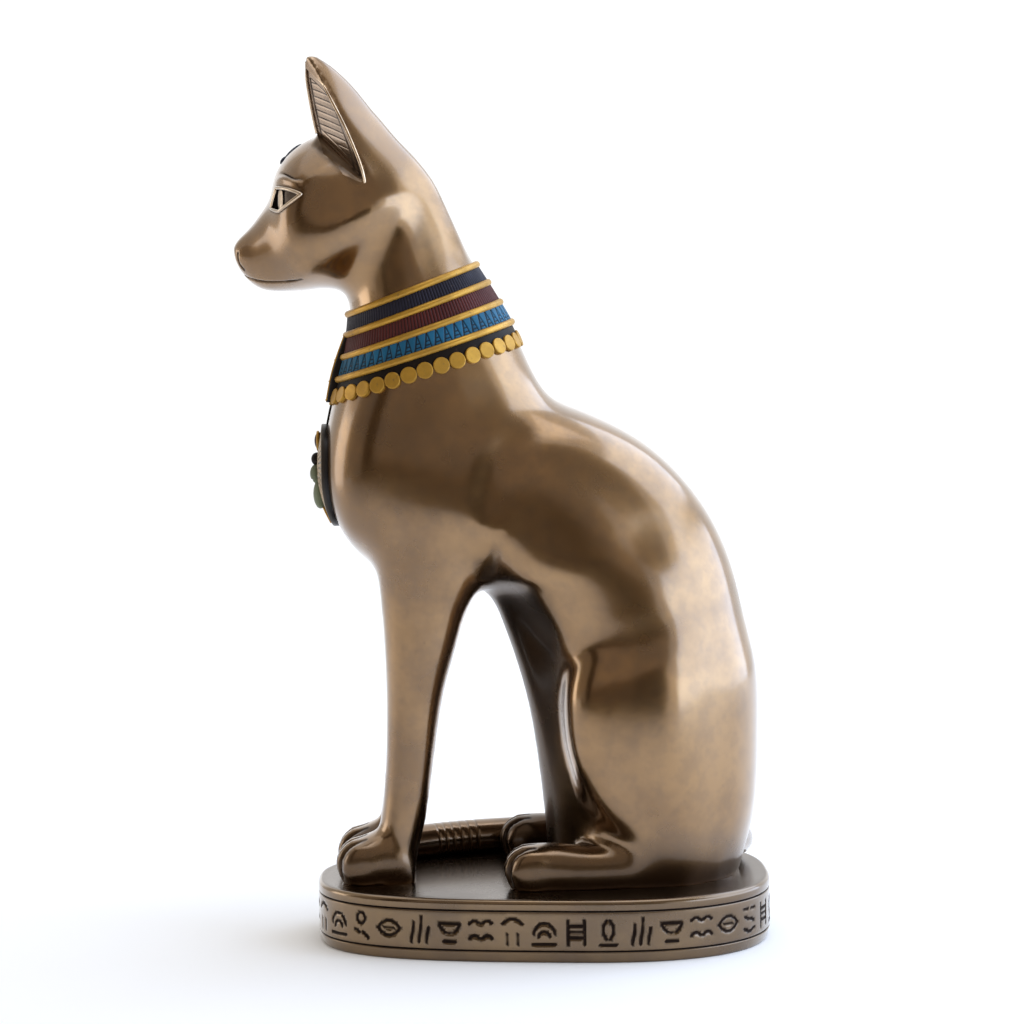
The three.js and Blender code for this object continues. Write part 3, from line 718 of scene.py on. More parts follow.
tail_line = fine_line([Vector((x, y, PLINTH_TOP + z)) * MM for x, y, z in TAIL], TAIL_STEP)
tail_run = np.linspace(0, 1, len(tail_line))
tail_length = TAIL_STEP * (len(tail_line) - 1)
tail_widths = np.sqrt(1 - smoothstep(1 - TIP_LENGTH / tail_length, 1, tail_run) ** 2 * 0.98)
tail_rings = []
for ring in range(TAIL_RINGS):
    middle = 1 - (FIRST_RING + RING_PITCH * ring) / tail_length
    gap = np.abs(tail_run - middle) * tail_length
    tail_widths -= RING_DEPTH * (1 - smoothstep(0, RING_HALF_WIDTH, gap))
    k = round(middle * (len(tail_line) - 1))
    centre = Vector(tail_line[k])
    ahead = Vector(tail_line[k + 1]) - centre
    across = ahead.cross(Vector((0, 0, 1))).normalized()
    up = across.cross(ahead).normalized()
    reach = TAIL_RADIUS * 0.9 * MM
    tail_rings.append(np.array([centre + (across * math.cos(t) + up * math.sin(t)) * reach
                                for t in np.linspace(0, 2 * math.pi, 60)]))
tail_mesh = gathered([tube(tail_line, TAIL_RADIUS, radii=tail_widths, sides=9)])
tail_bronze = bronze("tail_bronze", light=(0.20, 0.118, 0.056), dark=(0.13, 0.075, 0.035))
shown("tail", smooth(worn_and_shaded(tail_mesh, [(ring, 0.8, 0.9, 1.0) for ring in tail_rings])), tail_bronze)

# Plinth: an oval slab with a rounded top edge, cast with the cat. Two lines run round its band,
# and between them stand rows of simple strokes, cut in and filled with black.
PLINTH_FRONT = -76.0
PLINTH_BACK = 75.4
PLINTH_HALF_WIDTH = 49.0
PLINTH_GAP = 0.12  # kept inside the measured outline
EDGE_FOOT = 18.9  # where the rounding of the top edge begins
EDGE_RADIUS = 1.6
BAND_GROOVES = (3.8, 16.8)
GROOVE_PROFILE = [(-0.55, 0.1), (-0.35, 0.12), (-0.15, 0.62), (0.0, 0.7), (0.15, 0.62), (0.35, 0.12),
                  (0.55, 0.02)]
TOP_RINGS = 36
STROKE_CELLS = 40
STROKE_HALF_WIDTH = 0.5
STROKE_DEPTH = 0.4
STROKE_UNIT = (1.25, 1.55)  # of the places in STROKES, along the band and up it


def plinth_point(turn, inset):
    """A place on the plinth's outline, or so far inside it; x is blunt in front, fuller behind."""
    c, s = math.cos(turn), math.sin(turn)
    half = (PLINTH_BACK - PLINTH_FRONT) / 2
    x = (PLINTH_FRONT + PLINTH_BACK) / 2 + half * power(c, 0.72)
    taper = 0.973 + 0.13 * math.tanh(x / (0.64 * half))
    y = PLINTH_HALF_WIDTH * taper * power(s, 0.78)
    normal = Vector((c / half, s / PLINTH_HALF_WIDTH)).normalized()
    return x - (inset + PLINTH_GAP) * normal.x, y - (inset + PLINTH_GAP) * normal.y


outline_turns = np.linspace(0, 2 * math.pi, 2881)
outline = np.array([plinth_point(turn, 0) for turn in outline_turns])
outline_run = np.concatenate([[0], np.cumsum(np.hypot(*np.diff(outline, axis=0).T))])


def turn_at(run):
    """The turn at which the plinth's outline has run so many millimetres."""
    return float(np.interp(run % outline_run[-1], outline_run, outline_turns))


def turn_share(corner):
    """How far round a drum a corner is, from 0 to 1."""
    return math.atan2(corner.co.y, corner.co.x) / (2 * math.pi) % 1


def plinth_body():
    """Levels up the edge, each as height and inset, then rings that shrink over the flat top."""
    levels = [(0.02, 1.2), (0.5, 0.9), (1.6, 0.55), (2.6, 0.35)]
    for groove in BAND_GROOVES:
        levels += [(groove + step, depth) for step, depth in GROOVE_PROFILE]
        if groove == BAND_GROOVES[0]:
            levels += [(groove + 0.55 + 0.85 * k, 0.0) for k in range(1, 14)]
    levels.append((EDGE_FOOT - 0.7, 0.0))
    levels += [(EDGE_FOOT + EDGE_RADIUS * math.sin(a), EDGE_RADIUS * (1 - math.cos(a)))
               for a in np.linspace(0, math.pi / 2, 9)]
    top = levels[-1][0]
    levels += [(top, 2.4), (top - 0.05, 3.2)]
    shares = [1 - k / TOP_RINGS for k in range(1, TOP_RINGS)]
    around = 480
    bm = drum(around, len(levels) - 1 + len(shares))
    for v in bm.verts:
        step = round(v.co.z)
        turn = turn_at(outline_run[-1] * round(turn_share(v) * around) / around)
        height, inset = levels[min(step, len(levels) - 1)]
        x, y = plinth_point(turn, inset)
        share = 1 if step < len(levels) else shares[step - len(levels)]
        v.co = Vector((x * share, y * share, height)) * MM
    return gathered([outwards(bm)])


def arc(u, v, radius, first, last, rise=1.0):
    """A bow round a middle between two angles in degrees."""
    return [(u + radius * math.cos(a), v + rise * radius * math.sin(a))
            for a in np.radians(np.linspace(first, last, 7))]


# Groups of simple strokes, each stroke as places along the band and up it.
STROKES = [
    [[(-2.0, -2.6), (-1.3, 1.4)], [(0.1, -2.6), (0.8, 2.6)], [(2.1, -2.6), (2.6, 0.6)]],
    [arc(0, 1.0, 2.7, 20, 160, 0.6), *[[(u, -2.6), (u, -0.6)] for u in (-1.4, 1.4)]],
    [arc(0, -1.7, 3.6, 30, 150, 0.9), arc(0, 1.7, 3.6, 210, 330, 0.9), [(-1.4, 0), (1.4, 0)]],
    [arc(-1.3, 0.4, 2.6, -50, 50), arc(1.3, 0.4, 2.6, 130, 230), [(-2.2, -2.8), (2.2, -2.8)]],
    [[(1.5 * k - 3.0, low + 0.7 * (k % 2)) for k in range(5)] for low in (1.5, -1.6)],
    [arc(0, 1.5, 1.2, 0, 360), [(-2.2, -1.0), (-0.4, -1.6)], [(0.4, -1.4), (2.2, -2.6)]],
    [*[[(u, 2.4), (u, -2.6)] for u in (-2.2, 2.2)], *[[(-2.2, v), (2.2, v)] for v in (1.3, 0, -1.3)]],
    [arc(0, 1.8, 2.7, 190, 350, 0.9), [(-2.7, 1.4), (2.7, 1.4)], [(-1.6, -2.4), (1.6, -2.4)]],
    [arc(0, -1.0, 2.8, 10, 170), arc(0, -1.4, 1.5, 10, 170), [(-3.0, -2.6), (3.0, -2.6)]],
    [[(-2.4, 2.2), (-0.8, 2.2)], [(0.6, 2.2), (2.4, 2.2)], [(-2.0, 0.4), (2.0, -0.4)],
     [(-2.4, -2.0), (-0.2, -2.6), (2.4, -2.0)]],
]


def plinth_strokes():
    """The lines of all the strokes, one group in each cell of the band."""
    lines = []
    middle = sum(BAND_GROOVES) / 2
    pitch = outline_run[-1] / STROKE_CELLS
    for cell in range(STROKE_CELLS):
        lean = 0.025 * math.sin(2.4 * cell)
        for stroke in STROKES[(cell * 7 + cell // 5) % len(STROKES)]:
            places = []
            for u, v in stroke:
                turn = turn_at((cell + 0.5) * pitch + STROKE_UNIT[0] * u)
                height = middle + STROKE_UNIT[1] * v + lean * u
                places.append(Vector((*plinth_point(turn, 0), height)) * MM)
            lines.append(fine_line(places, 0.2))
    return lines


stroke_lines = plinth_strokes()
strokes = [(line, STROKE_HALF_WIDTH, STROKE_DEPTH, (0.75, 0.75)) for line in stroke_lines]
plinth_mesh = pressed(plinth_body(), strokes, cuts=2)
groove_lines = [np.array([(*plinth_point(turn, 0.6), z) for turn in outline_turns]) * MM
                for z in BAND_GROOVES]
plinth_inks = [(line, 0.7, 1.7, 1.0) for line in groove_lines + stroke_lines]
plinth_bronze = bronze("plinth_bronze", light=(0.195, 0.118, 0.047), dark=(0.12, 0.070, 0.029))


def top_shade(at):
    """Painted shade darkens the plinth's top; its edge stays lighter, rubbed."""
    return 0.75 * smoothstep(PLINTH_TOP - 0.35, PLINTH_TOP - 0.12, at[:, 2])


shown("plinth", smooth(worn_and_shaded(plinth_mesh, plinth_inks, top_shade, 0.3)), plinth_bronze)

# Head: skull, muzzle and ears, with the ridges that run from the ears down the nape. It is cast
# in bronze in one with the body; brow, mouth and nostrils were cut into the model by hand.
HEAD_GRAIN = 0.7
HEAD = [
    (-99.5, 210.6, -99.1, 206.6, 0, 3.0),
    (-97.9, 213.2, -97.4, 203.0, 0, 5.4),
    (-94.0, 217.0, -93.6, 198.6, 0, 8.2),
    (-90.6, 221.3, -88.8, 196.3, 0, 11.4),
    (-87.6, 225.8, -83.5, 195.9, 0, 15.0),
    (-86.2, 231.0, -78.5, 196.0, 0, 19.0),
    (-84.4, 236.0, -73.5, 196.4, 0, 22.5),
    (-79.8, 241.8, -67.5, 196.6, 0, 24.7),
    (-71.5, 246.7, -61.5, 195.5, 0, 25.2),
    (-60.0, 249.5, -53.0, 196.0, 0, 24.4),
    (-48.5, 246.5, -45.0, 198.0, 0, 22.4),
    (-39.5, 239.0, -37.0, 203.0, 0, 18.5),
    (-33.0, 228.0, -32.0, 212.0, 0, 12.0),
]
EAR = [
    (-73.6, 271.8, -70.7, 271.8, 17.3, 1.0),
    (-76.0, 268.0, -64.6, 267.6, 16.8, 3.5, 1.35, 2.1),
    (-76.2, 260.5, -57.6, 260.5, 16.6, 5.9, 1.5, 2.1),
    (-74.8, 252.9, -51.6, 252.9, 16.2, 7.7, 1.6, 2.1),
    (-72.5, 243.5, -42.9, 244.0, 15.5, 9.2, 1.6, 2.1),
    (-65.0, 233.0, -33.6, 233.2, 14.0, 10.3, 1.4, 2.1),
    (-56.0, 224.0, -29.2, 224.5, 12.2, 10.6, 1.2),
    (-47.0, 215.0, -25.6, 216.0, 10.9, 10.3),
    (-41.0, 206.0, -22.2, 207.0, 9.8, 9.8),
    (-37.0, 196.0, -20.4, 197.5, 8.8, 9.0),
]
# Corners of the flat front of an ear, as x, y and height: its tip, on the crown, on the cheek.
EAR_CORNERS = ((-74.0, 16.0, 271.5), (-71.0, 8.0, 245.5), (-53.0, 25.6, 226.5))
EAR_FOOT = 1.2  # where the flat front begins over the line from crown to cheek

skull = skinned(spline_rows(HEAD), 72, 60)
for v in skull.verts:
    # the cheeks are widest under the eyes and higher by the ears; jaw and crown are narrower
    height = v.co.z / MM - PLINTH_TOP
    cheek = height - 0.8 * (v.co.x / MM + 66)
    v.co.y *= 1 + 0.09 * float(smoothstep(228, 211, cheek)) - 0.14 * float(smoothstep(232, 250, height))
    v.co.y *= 1 - 0.20 * float(smoothstep(210, 195, cheek))
neck = skinned(trunk_line, 96, 40, first=0.0, last=4.6)


def ear_frame(side):
    """The flat front of an ear: a corner on the crown, the directions along its foot, up it and
    out of it, and its height."""
    tip, crown, cheek = [Vector((x, side * y, PLINTH_TOP + z)) * MM for x, y, z in EAR_CORNERS]
    along_foot = (cheek - crown).normalized()
    outward = along_foot.cross(tip - cheek).normalized()
    if outward.x > 0:
        outward = -outward
    up = outward.cross(along_foot).normalized()
    if up.dot(tip - crown) < 0:
        up = -up
    return crown, along_foot, up, outward, (tip - crown).dot(up)


def ear_form(side):
    """An ear and its ridge, narrowing towards the nape."""
    form = skinned(spline_rows(EAR, side), 64, 60)
    for v in form.verts:
        behind = v.co.x / MM + 28.7 + 0.6 * (v.co.z / MM - PLINTH_TOP - 196)
        v.co.y *= 1 - 0.26 * float(smoothstep(-6, 16, behind))
    return form


def ear_width(side, height):
    """Where the ear's flat front begins and ends at a height over its foot."""
    corner, along_foot, up, outward, _ = ear_frame(side)
    form = ear_form(side)
    met = bmesh.ops.bisect_plane(form, geom=form.verts[:] + form.edges[:] + form.faces[:],
                                 plane_co=corner, plane_no=outward)["geom_cut"]
    places = []
    for edge in [g for g in met if isinstance(g, bmesh.types.BMEdge)]:
        (a0, h0), (a1, h1) = [((v.co - corner).dot(along_foot), (v.co - corner).dot(up))
                              for v in edge.verts]
        if (h0 - height) * (h1 - height) <= 0 and h0 != h1:
            places.append(a0 + (a1 - a0) * (height - h0) / (h1 - h0))
    form.free()
    return min(places), max(places)


def evened(spans):
    """Spans with their small steps smoothed out."""
    spans = np.array(spans)
    for _ in range(6):
        spans[1:-1] = (spans[:-2] + 2 * spans[1:-1] + spans[2:]) / 4
    return spans


ear_levels = np.linspace(EAR_FOOT, ear_frame(-1)[4] / MM - 1.6, 26)
ear_spans = {side: evened([ear_width(side, h * MM) for h in ear_levels]) for side in SIDES}


def in_ear(side, across, share, inset, depth):
    """A place on the flat front, across it and up it, inside its rim and so deep in it."""
    corner, along_foot, up, outward, _ = ear_frame(side)
    foot, tip = ear_levels[0] + 0.4 * inset, ear_levels[-1] - 2.2 * inset
    height = foot + (tip - foot) * share
    first = np.interp(height, ear_levels, ear_spans[side][:, 0]) + inset * MM
    last = np.interp(height, ear_levels, ear_spans[side][:, 1]) - inset * MM
    if first > last:
        first = last = (first + last) / 2
    on_front = corner + along_foot * (first + (last - first) * across) + up * height * MM
    return on_front - outward * depth * MM


def ear_block(side, inset, depth, height):
    """A block with the outline of the ear's front, from a depth under it to a height over it."""
    shares = np.linspace(0, 1, 40)
    places = [in_ear(side, 0, share, inset, depth) for share in shares]
    places += [in_ear(side, 1, share, inset, depth) for share in shares[::-1]]
    bm = bmesh.new()
    face = bm.faces.new([bm.verts.new(place) for place in places])
    grown = bmesh.ops.extrude_face_region(bm, geom=[face])["geom"]
    moved = [g for g in grown if isinstance(g, bmesh.types.BMVert)]
    bmesh.ops.translate(bm, verts=moved, vec=ear_frame(side)[3] * (depth + height) * MM)
    bmesh.ops.remove_doubles(bm, verts=bm.verts, dist=1e-5)
    return outwards(bm)


def cut(form, cutters):
    """A form with blocks taken away."""
    for cutter in cutters:
        tool = placed("tool", gathered([cutter]))
        form = finished(form, "BOOLEAN", operation="DIFFERENCE", object=tool, solver="EXACT")
        bpy.data.objects.remove(tool)
    return form


def opened_ear(side):
    """An ear with its front cut flat."""
    corner, along_foot, up, outward, _ = ear_frame(side)
    block = bmesh.new()
    bmesh.ops.create_cube(block, size=1)
    bmesh.ops.scale(block, verts=block.verts, vec=(90 * MM, 90 * MM, 60 * MM))
    bmesh.ops.translate(block, verts=block.verts, vec=(10 * MM, 32 * MM, 30 * MM))
    turn_to = Matrix((along_foot, up, outward)).transposed().to_4x4()
    bmesh.ops.transform(block, verts=block.verts, matrix=Matrix.Translation(corner) @ turn_to)
    return form_of(cut(gathered([ear_form(side)]), [outwards(block)]))


ears = [opened_ear(side) for side in SIDES]
head_mesh = melted([skull, neck, *ears], HEAD_GRAIN)
joins = [seam_weight(head_mesh, [[skull], [neck]], 14.0),
         seam_weight(head_mesh, [[skull], [neck], ears], 4.0),
         seam_weight(head_mesh, [[neck], ears], 10.0)]
head_mesh = eased(eased(head_mesh, 300, np.maximum.reduce(joins)), 6)
head_mesh = cut(head_mesh, [ear_block(side, 0.95, 1.9, 4) for side in SIDES])

# Eye, brow folds, nostril and mouth, as x and height.
EYE_CORNERS = [(-84.2, 229.6), (-76.0, 227.2), (-83.5, 221.9), (-86.3, 222.9)]
EYE_BOWS = (0.4, 0.0, 0.15, 0.1)
EYE_MIDDLE = (-82.6, 225.5)
BROW_GROOVE = [(-83.2, 234.6), (-80.6, 233.6), (-78.4, 232.3), (-76.0, 231.9)]
BROW_FOLD = [(-84.6, 232.4), (-81.5, 232.2), (-78.0, 231.0), (-75.4, 229.9)]
MOUTH = [(-77.0, 199.8), (-80.5, 199.2), (-84.1, 199.0), (-89.0, 199.1), (-92.0, 199.6)]
NOSTRIL = [(-97.9, 208.6), (-98.0, 206.6), (-97.2, 204.6), (-96.0, 203.2)]
# Mouth and lip seen from the front, as y and height.
MOUTH_FRONT = [(5.5, 199.8), (3.0, 200.6), (0.0, 202.0), (-3.0, 200.6), (-5.5, 199.8)]
LIP = [(0.0, 202.0), (0.0, 203.5), (0.0, 205.0)]
# The ear's shadow on the head: a line, as x and height, along which painted shadow is laid.
EAR_SHADOW = [(-70.5, 244.5), (-67.0, 240.0), (-62.5, 235.8), (-57.5, 232.3)]
head_skin = touch(head_mesh)


def eye_outline(step):
    """Places as x and height round the eye: four corners with bowed sides between them."""
    places = []
    for k, bow in enumerate(EYE_BOWS):
        first, last = Vector(EYE_CORNERS[k]), Vector(EYE_CORNERS[(k + 1) % 4])
        across = (last - first).normalized()
        out = Vector((-across.y, across.x))
        if out.dot(first - Vector(EYE_MIDDLE)) < 0:
            out = -out
        count = max(3, round((last - first).length / step))
        places += [first.lerp(last, t / count) + out * bow * math.sin(math.pi * t / count)
                   for t in range(count)]
    return [(p.x, p.y) for p in places]


def from_front(tree, points):
    """A line landed on the cat from the front, through points given as y and height."""
    return [landed(tree, (-150, y, PLINTH_TOP + z), (1, 0, 0)) for y, z in points]


# Each has its half width, its depth (raised where negative), the share of that at both ends, and
# how darkly it is washed.
SIDE_LINES = [
    (BROW_GROOVE, 0.7, 0.35, (0.1, 0.1), 0.5),
    (BROW_FOLD, 1.9, -0.6, (0.3, 0.1), 0.0),
    (MOUTH, 0.8, 0.55, (0.0, 1.0), 0.9),
    (NOSTRIL, 0.8, 0.7, (0.3, 0.3), 0.9),
]
FRONT_LINES = [(MOUTH_FRONT, 0.8, 0.55, (1.0, 1.0), 0.9), (LIP, 0.7, 0.5, (1.0, 0.4), 0.9)]
face_lines = [(line, *cut_as) for points, *cut_as in SIDE_LINES
              for line in side_lines(head_skin, points)]
face_lines += [(fine_line(from_front(head_skin, points)), *cut_as)
               for points, *cut_as in FRONT_LINES]
head_mesh = pressed(head_mesh, [face_line[:4] for face_line in face_lines], cuts=1)
head_washes = [(np.array(on_side(head_skin, eye_outline(0.3), side)), 1.5, 0.9, 1.0)
               for side in SIDES]
head_washes += [(line, 1.2 * width, strength, 1.0) for line, width, _, _, strength in face_lines]
# Painted shadow below the foot of each ear.
head_washes += [(line, 3.6, 0.75, 1.0) for line in side_lines(head_skin, EAR_SHADOW)]
shown("cat_head", edged(smooth(worn_and_shaded(head_mesh, head_washes)), 50), cast_bronze)
head_skin = touch(head_mesh)

# Ear linings: the sunk front of each ear, with fine lines engraved across it between plain
# borders. It is cast with the ear; dark colour was left in the lines and wiped off between them.
LINE_PITCH = 2.0
LINE_SLOPE = 0.5
CROWN_LINE, INNER_LINE, OUTER_LINE = 0.07, 0.76, 0.88  # places across the lining
LOW_LINE, FOOT_LINE, TOP_LINE = 0.03, 0.13, 0.87  # places up it
LINING_DEPTH = 0.75


def bell(distance, half_width):
    """1 on a line, and falling to nothing beside it."""
    return math.exp(-(distance / half_width) ** 2)


def lining_form(u, v, x, z):
    """How deep the lining is cut at u across it, from crown side to cheek side, and v up it."""
    cuts = [bell(v - LOW_LINE, 0.014), bell(v - FOOT_LINE, 0.014)]
    if v < TOP_LINE:
        cuts += [bell(u - INNER_LINE, 0.035), bell(u - OUTER_LINE, 0.03), bell(u - CROWN_LINE, 0.03)]
    if CROWN_LINE < u < OUTER_LINE:
        cuts.append(bell(v - TOP_LINE, 0.012))
    if CROWN_LINE < u < INNER_LINE and FOOT_LINE < v < TOP_LINE:
        place = (z + LINE_SLOPE * x) / LINE_PITCH
        cuts.append(bell(place - round(place), 0.11))
    return max(cuts)


def ear_lining(side):
    """A thin leaf in the hollow of an ear. Its corners are washed as the nearest engraved ones."""
    outward = ear_frame(side)[3]
    bm = bmesh.new()
    bmesh.ops.create_grid(bm, x_segments=90, y_segments=320, size=0.5)
    wash_and_shade = []
    near = KDTree(len(bm.verts))
    for k, v in enumerate(bm.verts):
        across, up = v.co.x + 0.5, v.co.y + 0.5
        place = in_ear(side, across, up, 1.0, LINING_DEPTH)
        wash_and_shade.append(lining_form(across, up, place.x / MM, place.z / MM))
        v.co = place - outward * (0.06 * wash_and_shade[-1] + 0.35 * math.sin(math.pi * across)) * MM
        near.insert(v.co, k)
    near.balance()
    bmesh.ops.solidify(bm, geom=bm.faces[:], thickness=0.4 * MM)
    mesh = gathered([outwards(bm)])
    note(mesh, "wash_and_shade", [wash_and_shade[near.find(v.co)[1]] for v in mesh.vertices])
    return mesh


lining_bronze = bronze("lining_bronze", light=(0.30, 0.205, 0.14), dark=(0.22, 0.145, 0.09))
for side, name in zip(SIDES, ("ear_lining_left", "ear_lining_right")):
    shown(name, smooth(ear_lining(side)), lining_bronze)

# Ear edges: the narrow raised edge that runs round the front of each ear, cast with it. Hands
# have rubbed it bright; its lighter bronze is partly a painted highlight.
edge_bronze_and_highlight = bronze("edge_bronze_and_highlight", light=(0.42, 0.27, 0.13), dark=(0.28, 0.17, 0.075))
EDGE_BAR = 0.5


def ear_edge(side):
    """A bar down the cheek side and a thinner one down the crown side, both finer at the tip."""
    shares = np.linspace(0, 0.97, 10)
    cheek_side = fine_line([in_ear(side, 1, h, 0.4, 0.15 - 0.45 * smoothstep(0.55, 0.9, h))
                            for h in shares], 0.5)
    crown_side = fine_line([in_ear(side, 0, h, 0.55, 0.25) for h in shares], 0.5)
    widths = 1 - 0.35 * smoothstep(0.85, 1, np.linspace(0, 1, len(cheek_side)))
    thinner = 0.8 - 0.5 * smoothstep(0.75, 1, np.linspace(0, 1, len(crown_side)))
    return worn_and_shaded(gathered([tube(cheek_side, EDGE_BAR, radii=widths),
                          tube(crown_side, EDGE_BAR, radii=thinner)]))


for side, name in zip(SIDES, ("ear_edge_left", "ear_edge_right")):
    shown(name, smooth(ear_edge(side)), edge_bronze_and_highlight)

# Eyes: a leaf-shaped rim, rubbed to a silvery bronze, round a low eye with a tall iris. Both are
# cast with the head; the eye is painted black on either side of the iris, a black that is partly
# the painted shade of a deep hollow, and the iris is made pale with a painted sheen.
RIM_RADIUS = 0.64
RIM_LIFT = 0.2
IRIS_MIDDLE = (-82.85, 225.6)
IRIS_HALF = (0.85, 3.2)
BLACK_END = -81.3  # the outer corner behind it is only washed


def eye_ball(side):
    """The eye inside its rim, a little domed, with a tall iris raised in it."""
    outline = [Vector((x, 0, z)) * MM for x, z in eye_outline(0.3)]
    middle = Vector((EYE_MIDDLE[0], 0, EYE_MIDDLE[1])) * MM
    rings = 20
    bm = drum(120, rings)
    inks = []
    for v in bm.verts:
        share = v.co.z / rings
        place = middle.lerp(outline[int(turn_share(v) * len(outline)) % len(outline)], share)
        x, z = place.x / MM, place.z / MM
        across, up = (x - IRIS_MIDDLE[0]) / IRIS_HALF[0], (z - IRIS_MIDDLE[1]) / IRIS_HALF[1]
        iris = across**2 + up**4
        lift = 0.25 + 0.35 * (1 - share * share) + (0.22 if iris < 1 else 0.0)
        if round(v.co.z) == rings:
            lift = -0.6
        v.co = on_side(head_skin, [(x, z)], side)[0] + Vector((0, side * lift * MM, 0))
        inks.append(0.2 if iris < 0.95 else 0.75 if x > BLACK_END else 1.0)
    mesh = gathered([outwards(bm)])
    note(mesh, "wash_and_shade", inks)
    # The pale iris is a painted sheen.
    note(mesh, "rub_and_sheen", [1 - ink for ink in inks])
    for face in mesh.polygons:
        face.material_index = int(min(inks[k] for k in face.vertices) == 1.0)
    return mesh


rim_bronze = bronze("rim_bronze", light=(0.62, 0.52, 0.42), dark=(0.45, 0.36, 0.27))
eye_black, black_surface = new_material("eye_black")
black_surface["Base Color"].default_value = shade(0.004, 0.003, 0.003)
black_surface["Roughness"].default_value = 0.5
black_surface["Specular IOR Level"].default_value = 0.0
eye_bronze = bronze("eye_bronze", light=(0.40, 0.32, 0.26), dark=(0.20, 0.15, 0.12))
for side, name in zip(SIDES, ("left", "right")):
    rim = [place + Vector((0, side * RIM_LIFT * MM, 0))
           for place in on_side(head_skin, eye_outline(0.5), side)]
    rim_mesh = worn_and_shaded(gathered([tube(rim, RIM_RADIUS, closed=True)]))
    shown("eye_rim_" + name, smooth(rim_mesh), rim_bronze)
    shown("eye_" + name, smooth(eye_ball(side)), eye_bronze, eye_black)

# Collar: three painted bands round the neck, between four gilt rings, with a row of gilt discs
# along its lower edge; modelled on the neck and cast with it.
RING_PLACES = (3.25, 4.12, 5.04, 5.88)
RING_RADIUS = 1.15
DISC_PLACE = 6.42
DISC_RADIUS = 2.72
DISC_THICKNESS = 1.1
DISC_COUNT = 34
BAND_PROUD = 0.9
STRIPES = 148
TRIANGLES = 52


def even_turns(row, count, first=0.0):
    """Turns round a section at equal steps of its length."""
    fine = np.linspace(0, 2 * math.pi, 721)
    ring = np.array([section_point(row, turn) for turn in fine])
    run = np.concatenate([[0], np.cumsum(np.linalg.norm(np.diff(ring, axis=0), axis=1))])
    return np.interp(run[-1] * (np.arange(count) + first) / count, run, fine)


def inked(bm, inks):
    """The smooth mesh of a form, with how much black is on each of its corners."""
    mesh = gathered([outwards(bm)])
    note(mesh, "ink", inks)
    return smooth(mesh)


def sleeve(first, last, around, steps, proud, cut_depth):
    """A band round the neck between two places, cut by cut_depth(share round, share down)."""
    turns = even_turns(along(trunk_line, (first + last) / 2), around)
    bm = drum(around, steps + 2)
    inks = []
    for v in bm.verts:
        k = round(turn_share(v) * around) % around
        step = round(v.co.z)
        down = min(max((step - 1) / steps, 0), 1)
        depth, ink = cut_depth(k / around, down)
        inks.append(ink)
        row = along(trunk_line, first + (last - first) * down)
        lift = -0.6 if step in (0, steps + 2) else proud - depth
        v.co = section_point(row, float(turns[k]), lift)
    return inked(bm, inks)


def stripes(share, down):
    """Fine upright stripes, deeper in some places round the neck."""
    uneven = 0.45 + 0.55 * math.sin(9 * share + 1.2) ** 2
    strength = bell(share * STRIPES % 1 - 0.5, 0.17) * uneven
    return 0.26 * strength, 0.85 * strength


def triangles(share, down):
    """A row of tall triangles with bars across them."""
    u = share * TRIANGLES % 1
    h = 1 - down
    left = 0.12 + 0.36 * (h - 0.08) / 0.8
    right = 0.86 - 0.38 * (h - 0.08) / 0.8
    line = 0.0
    if 0.08 < h < 0.9:
        line = max(bell(u - left, 0.055), bell(u - right, 0.085))
        if left < u < right:
            line = max(line, *[bell(h - bar, 0.035) for bar in (0.10, 0.27, 0.45)])
    return 0.3 * line, line


def no_cut(share, down):
    """The plain ground under the discs."""
    return 0, 0


WORN_THROUGH = shade(0.10, 0.065, 0.04)
BLACK_INK = shade(0.010, 0.008, 0.008)
PAINT_GRAIN = 0.04


def rubbed_paint():
    """Old paint: uneven, darker in its cut lines, rubbed away where the piece is handled."""
    tree, given, result = new_group(
        "rubbed_paint",
        [("Paint", "NodeSocketColor", shade(0.5, 0.5, 0.5)), ("Ink", "NodeSocketFloat", 0.0),
         ("Wear", "NodeSocketFloat", 0.3)],
        [("Color", "NodeSocketColor"), ("Roughness", "NodeSocketFloat"), ("Height", "NodeSocketFloat")])
    clouds = ranged(tree, mottle(tree, 90, 5), 0.35, 0.68)
    specks = ranged(tree, mottle(tree, 700, 4), 0.60, 0.74)
    darker = node(tree, "ShaderNodeMix", data_type="RGBA", blend_type="MULTIPLY")
    tree.links.new(given["Paint"], darker.inputs[6])
    darker.inputs[0].default_value = 1.0
    darker.inputs[7].default_value = shade(0.55, 0.52, 0.50)
    tone = mixed(tree, times(tree, clouds, 0.6), given["Paint"], darker.outputs[2])
    tone = mixed(tree, times(tree, specks, given["Wear"]), tone, WORN_THROUGH)
    tree.links.new(mixed(tree, given["Ink"], tone, BLACK_INK), result["Color"])
    tree.links.new(ranged(tree, clouds, 0, 1, 0.38, 0.52), result["Roughness"])
    tree.links.new(mottle(tree, 420, 4), result["Height"])
    return tree


paint_group = rubbed_paint()


def paint(name, colour, wear=0.3, metal=0.0, coat=0.0):
    """Old paint, or gilding where there is metal in it."""
    material, finish, surface = covered(name, paint_group, ("ink",), PAINT_GRAIN)
    finish.inputs["Paint"].default_value = shade(*colour)
    finish.inputs["Wear"].default_value = wear
    surface["Metallic"].default_value = metal
    surface["Coat Weight"].default_value = coat
    surface["Coat Roughness"].default_value = 0.25
    surface["Specular IOR Level"].default_value = 0.5 if metal else 0.12
    return material


gold = paint("gilt", (0.50, 0.27, 0.030), wear=0.6, metal=0.6, coat=0.12)
navy_paint = paint("navy_paint", (0.020, 0.018, 0.030))
red_paint = paint("red_paint", (0.085, 0.018, 0.015))
blue_paint = paint("blue_paint", (0.018, 0.115, 0.21))
black_paint = paint("black_paint", (0.012, 0.008, 0.006))

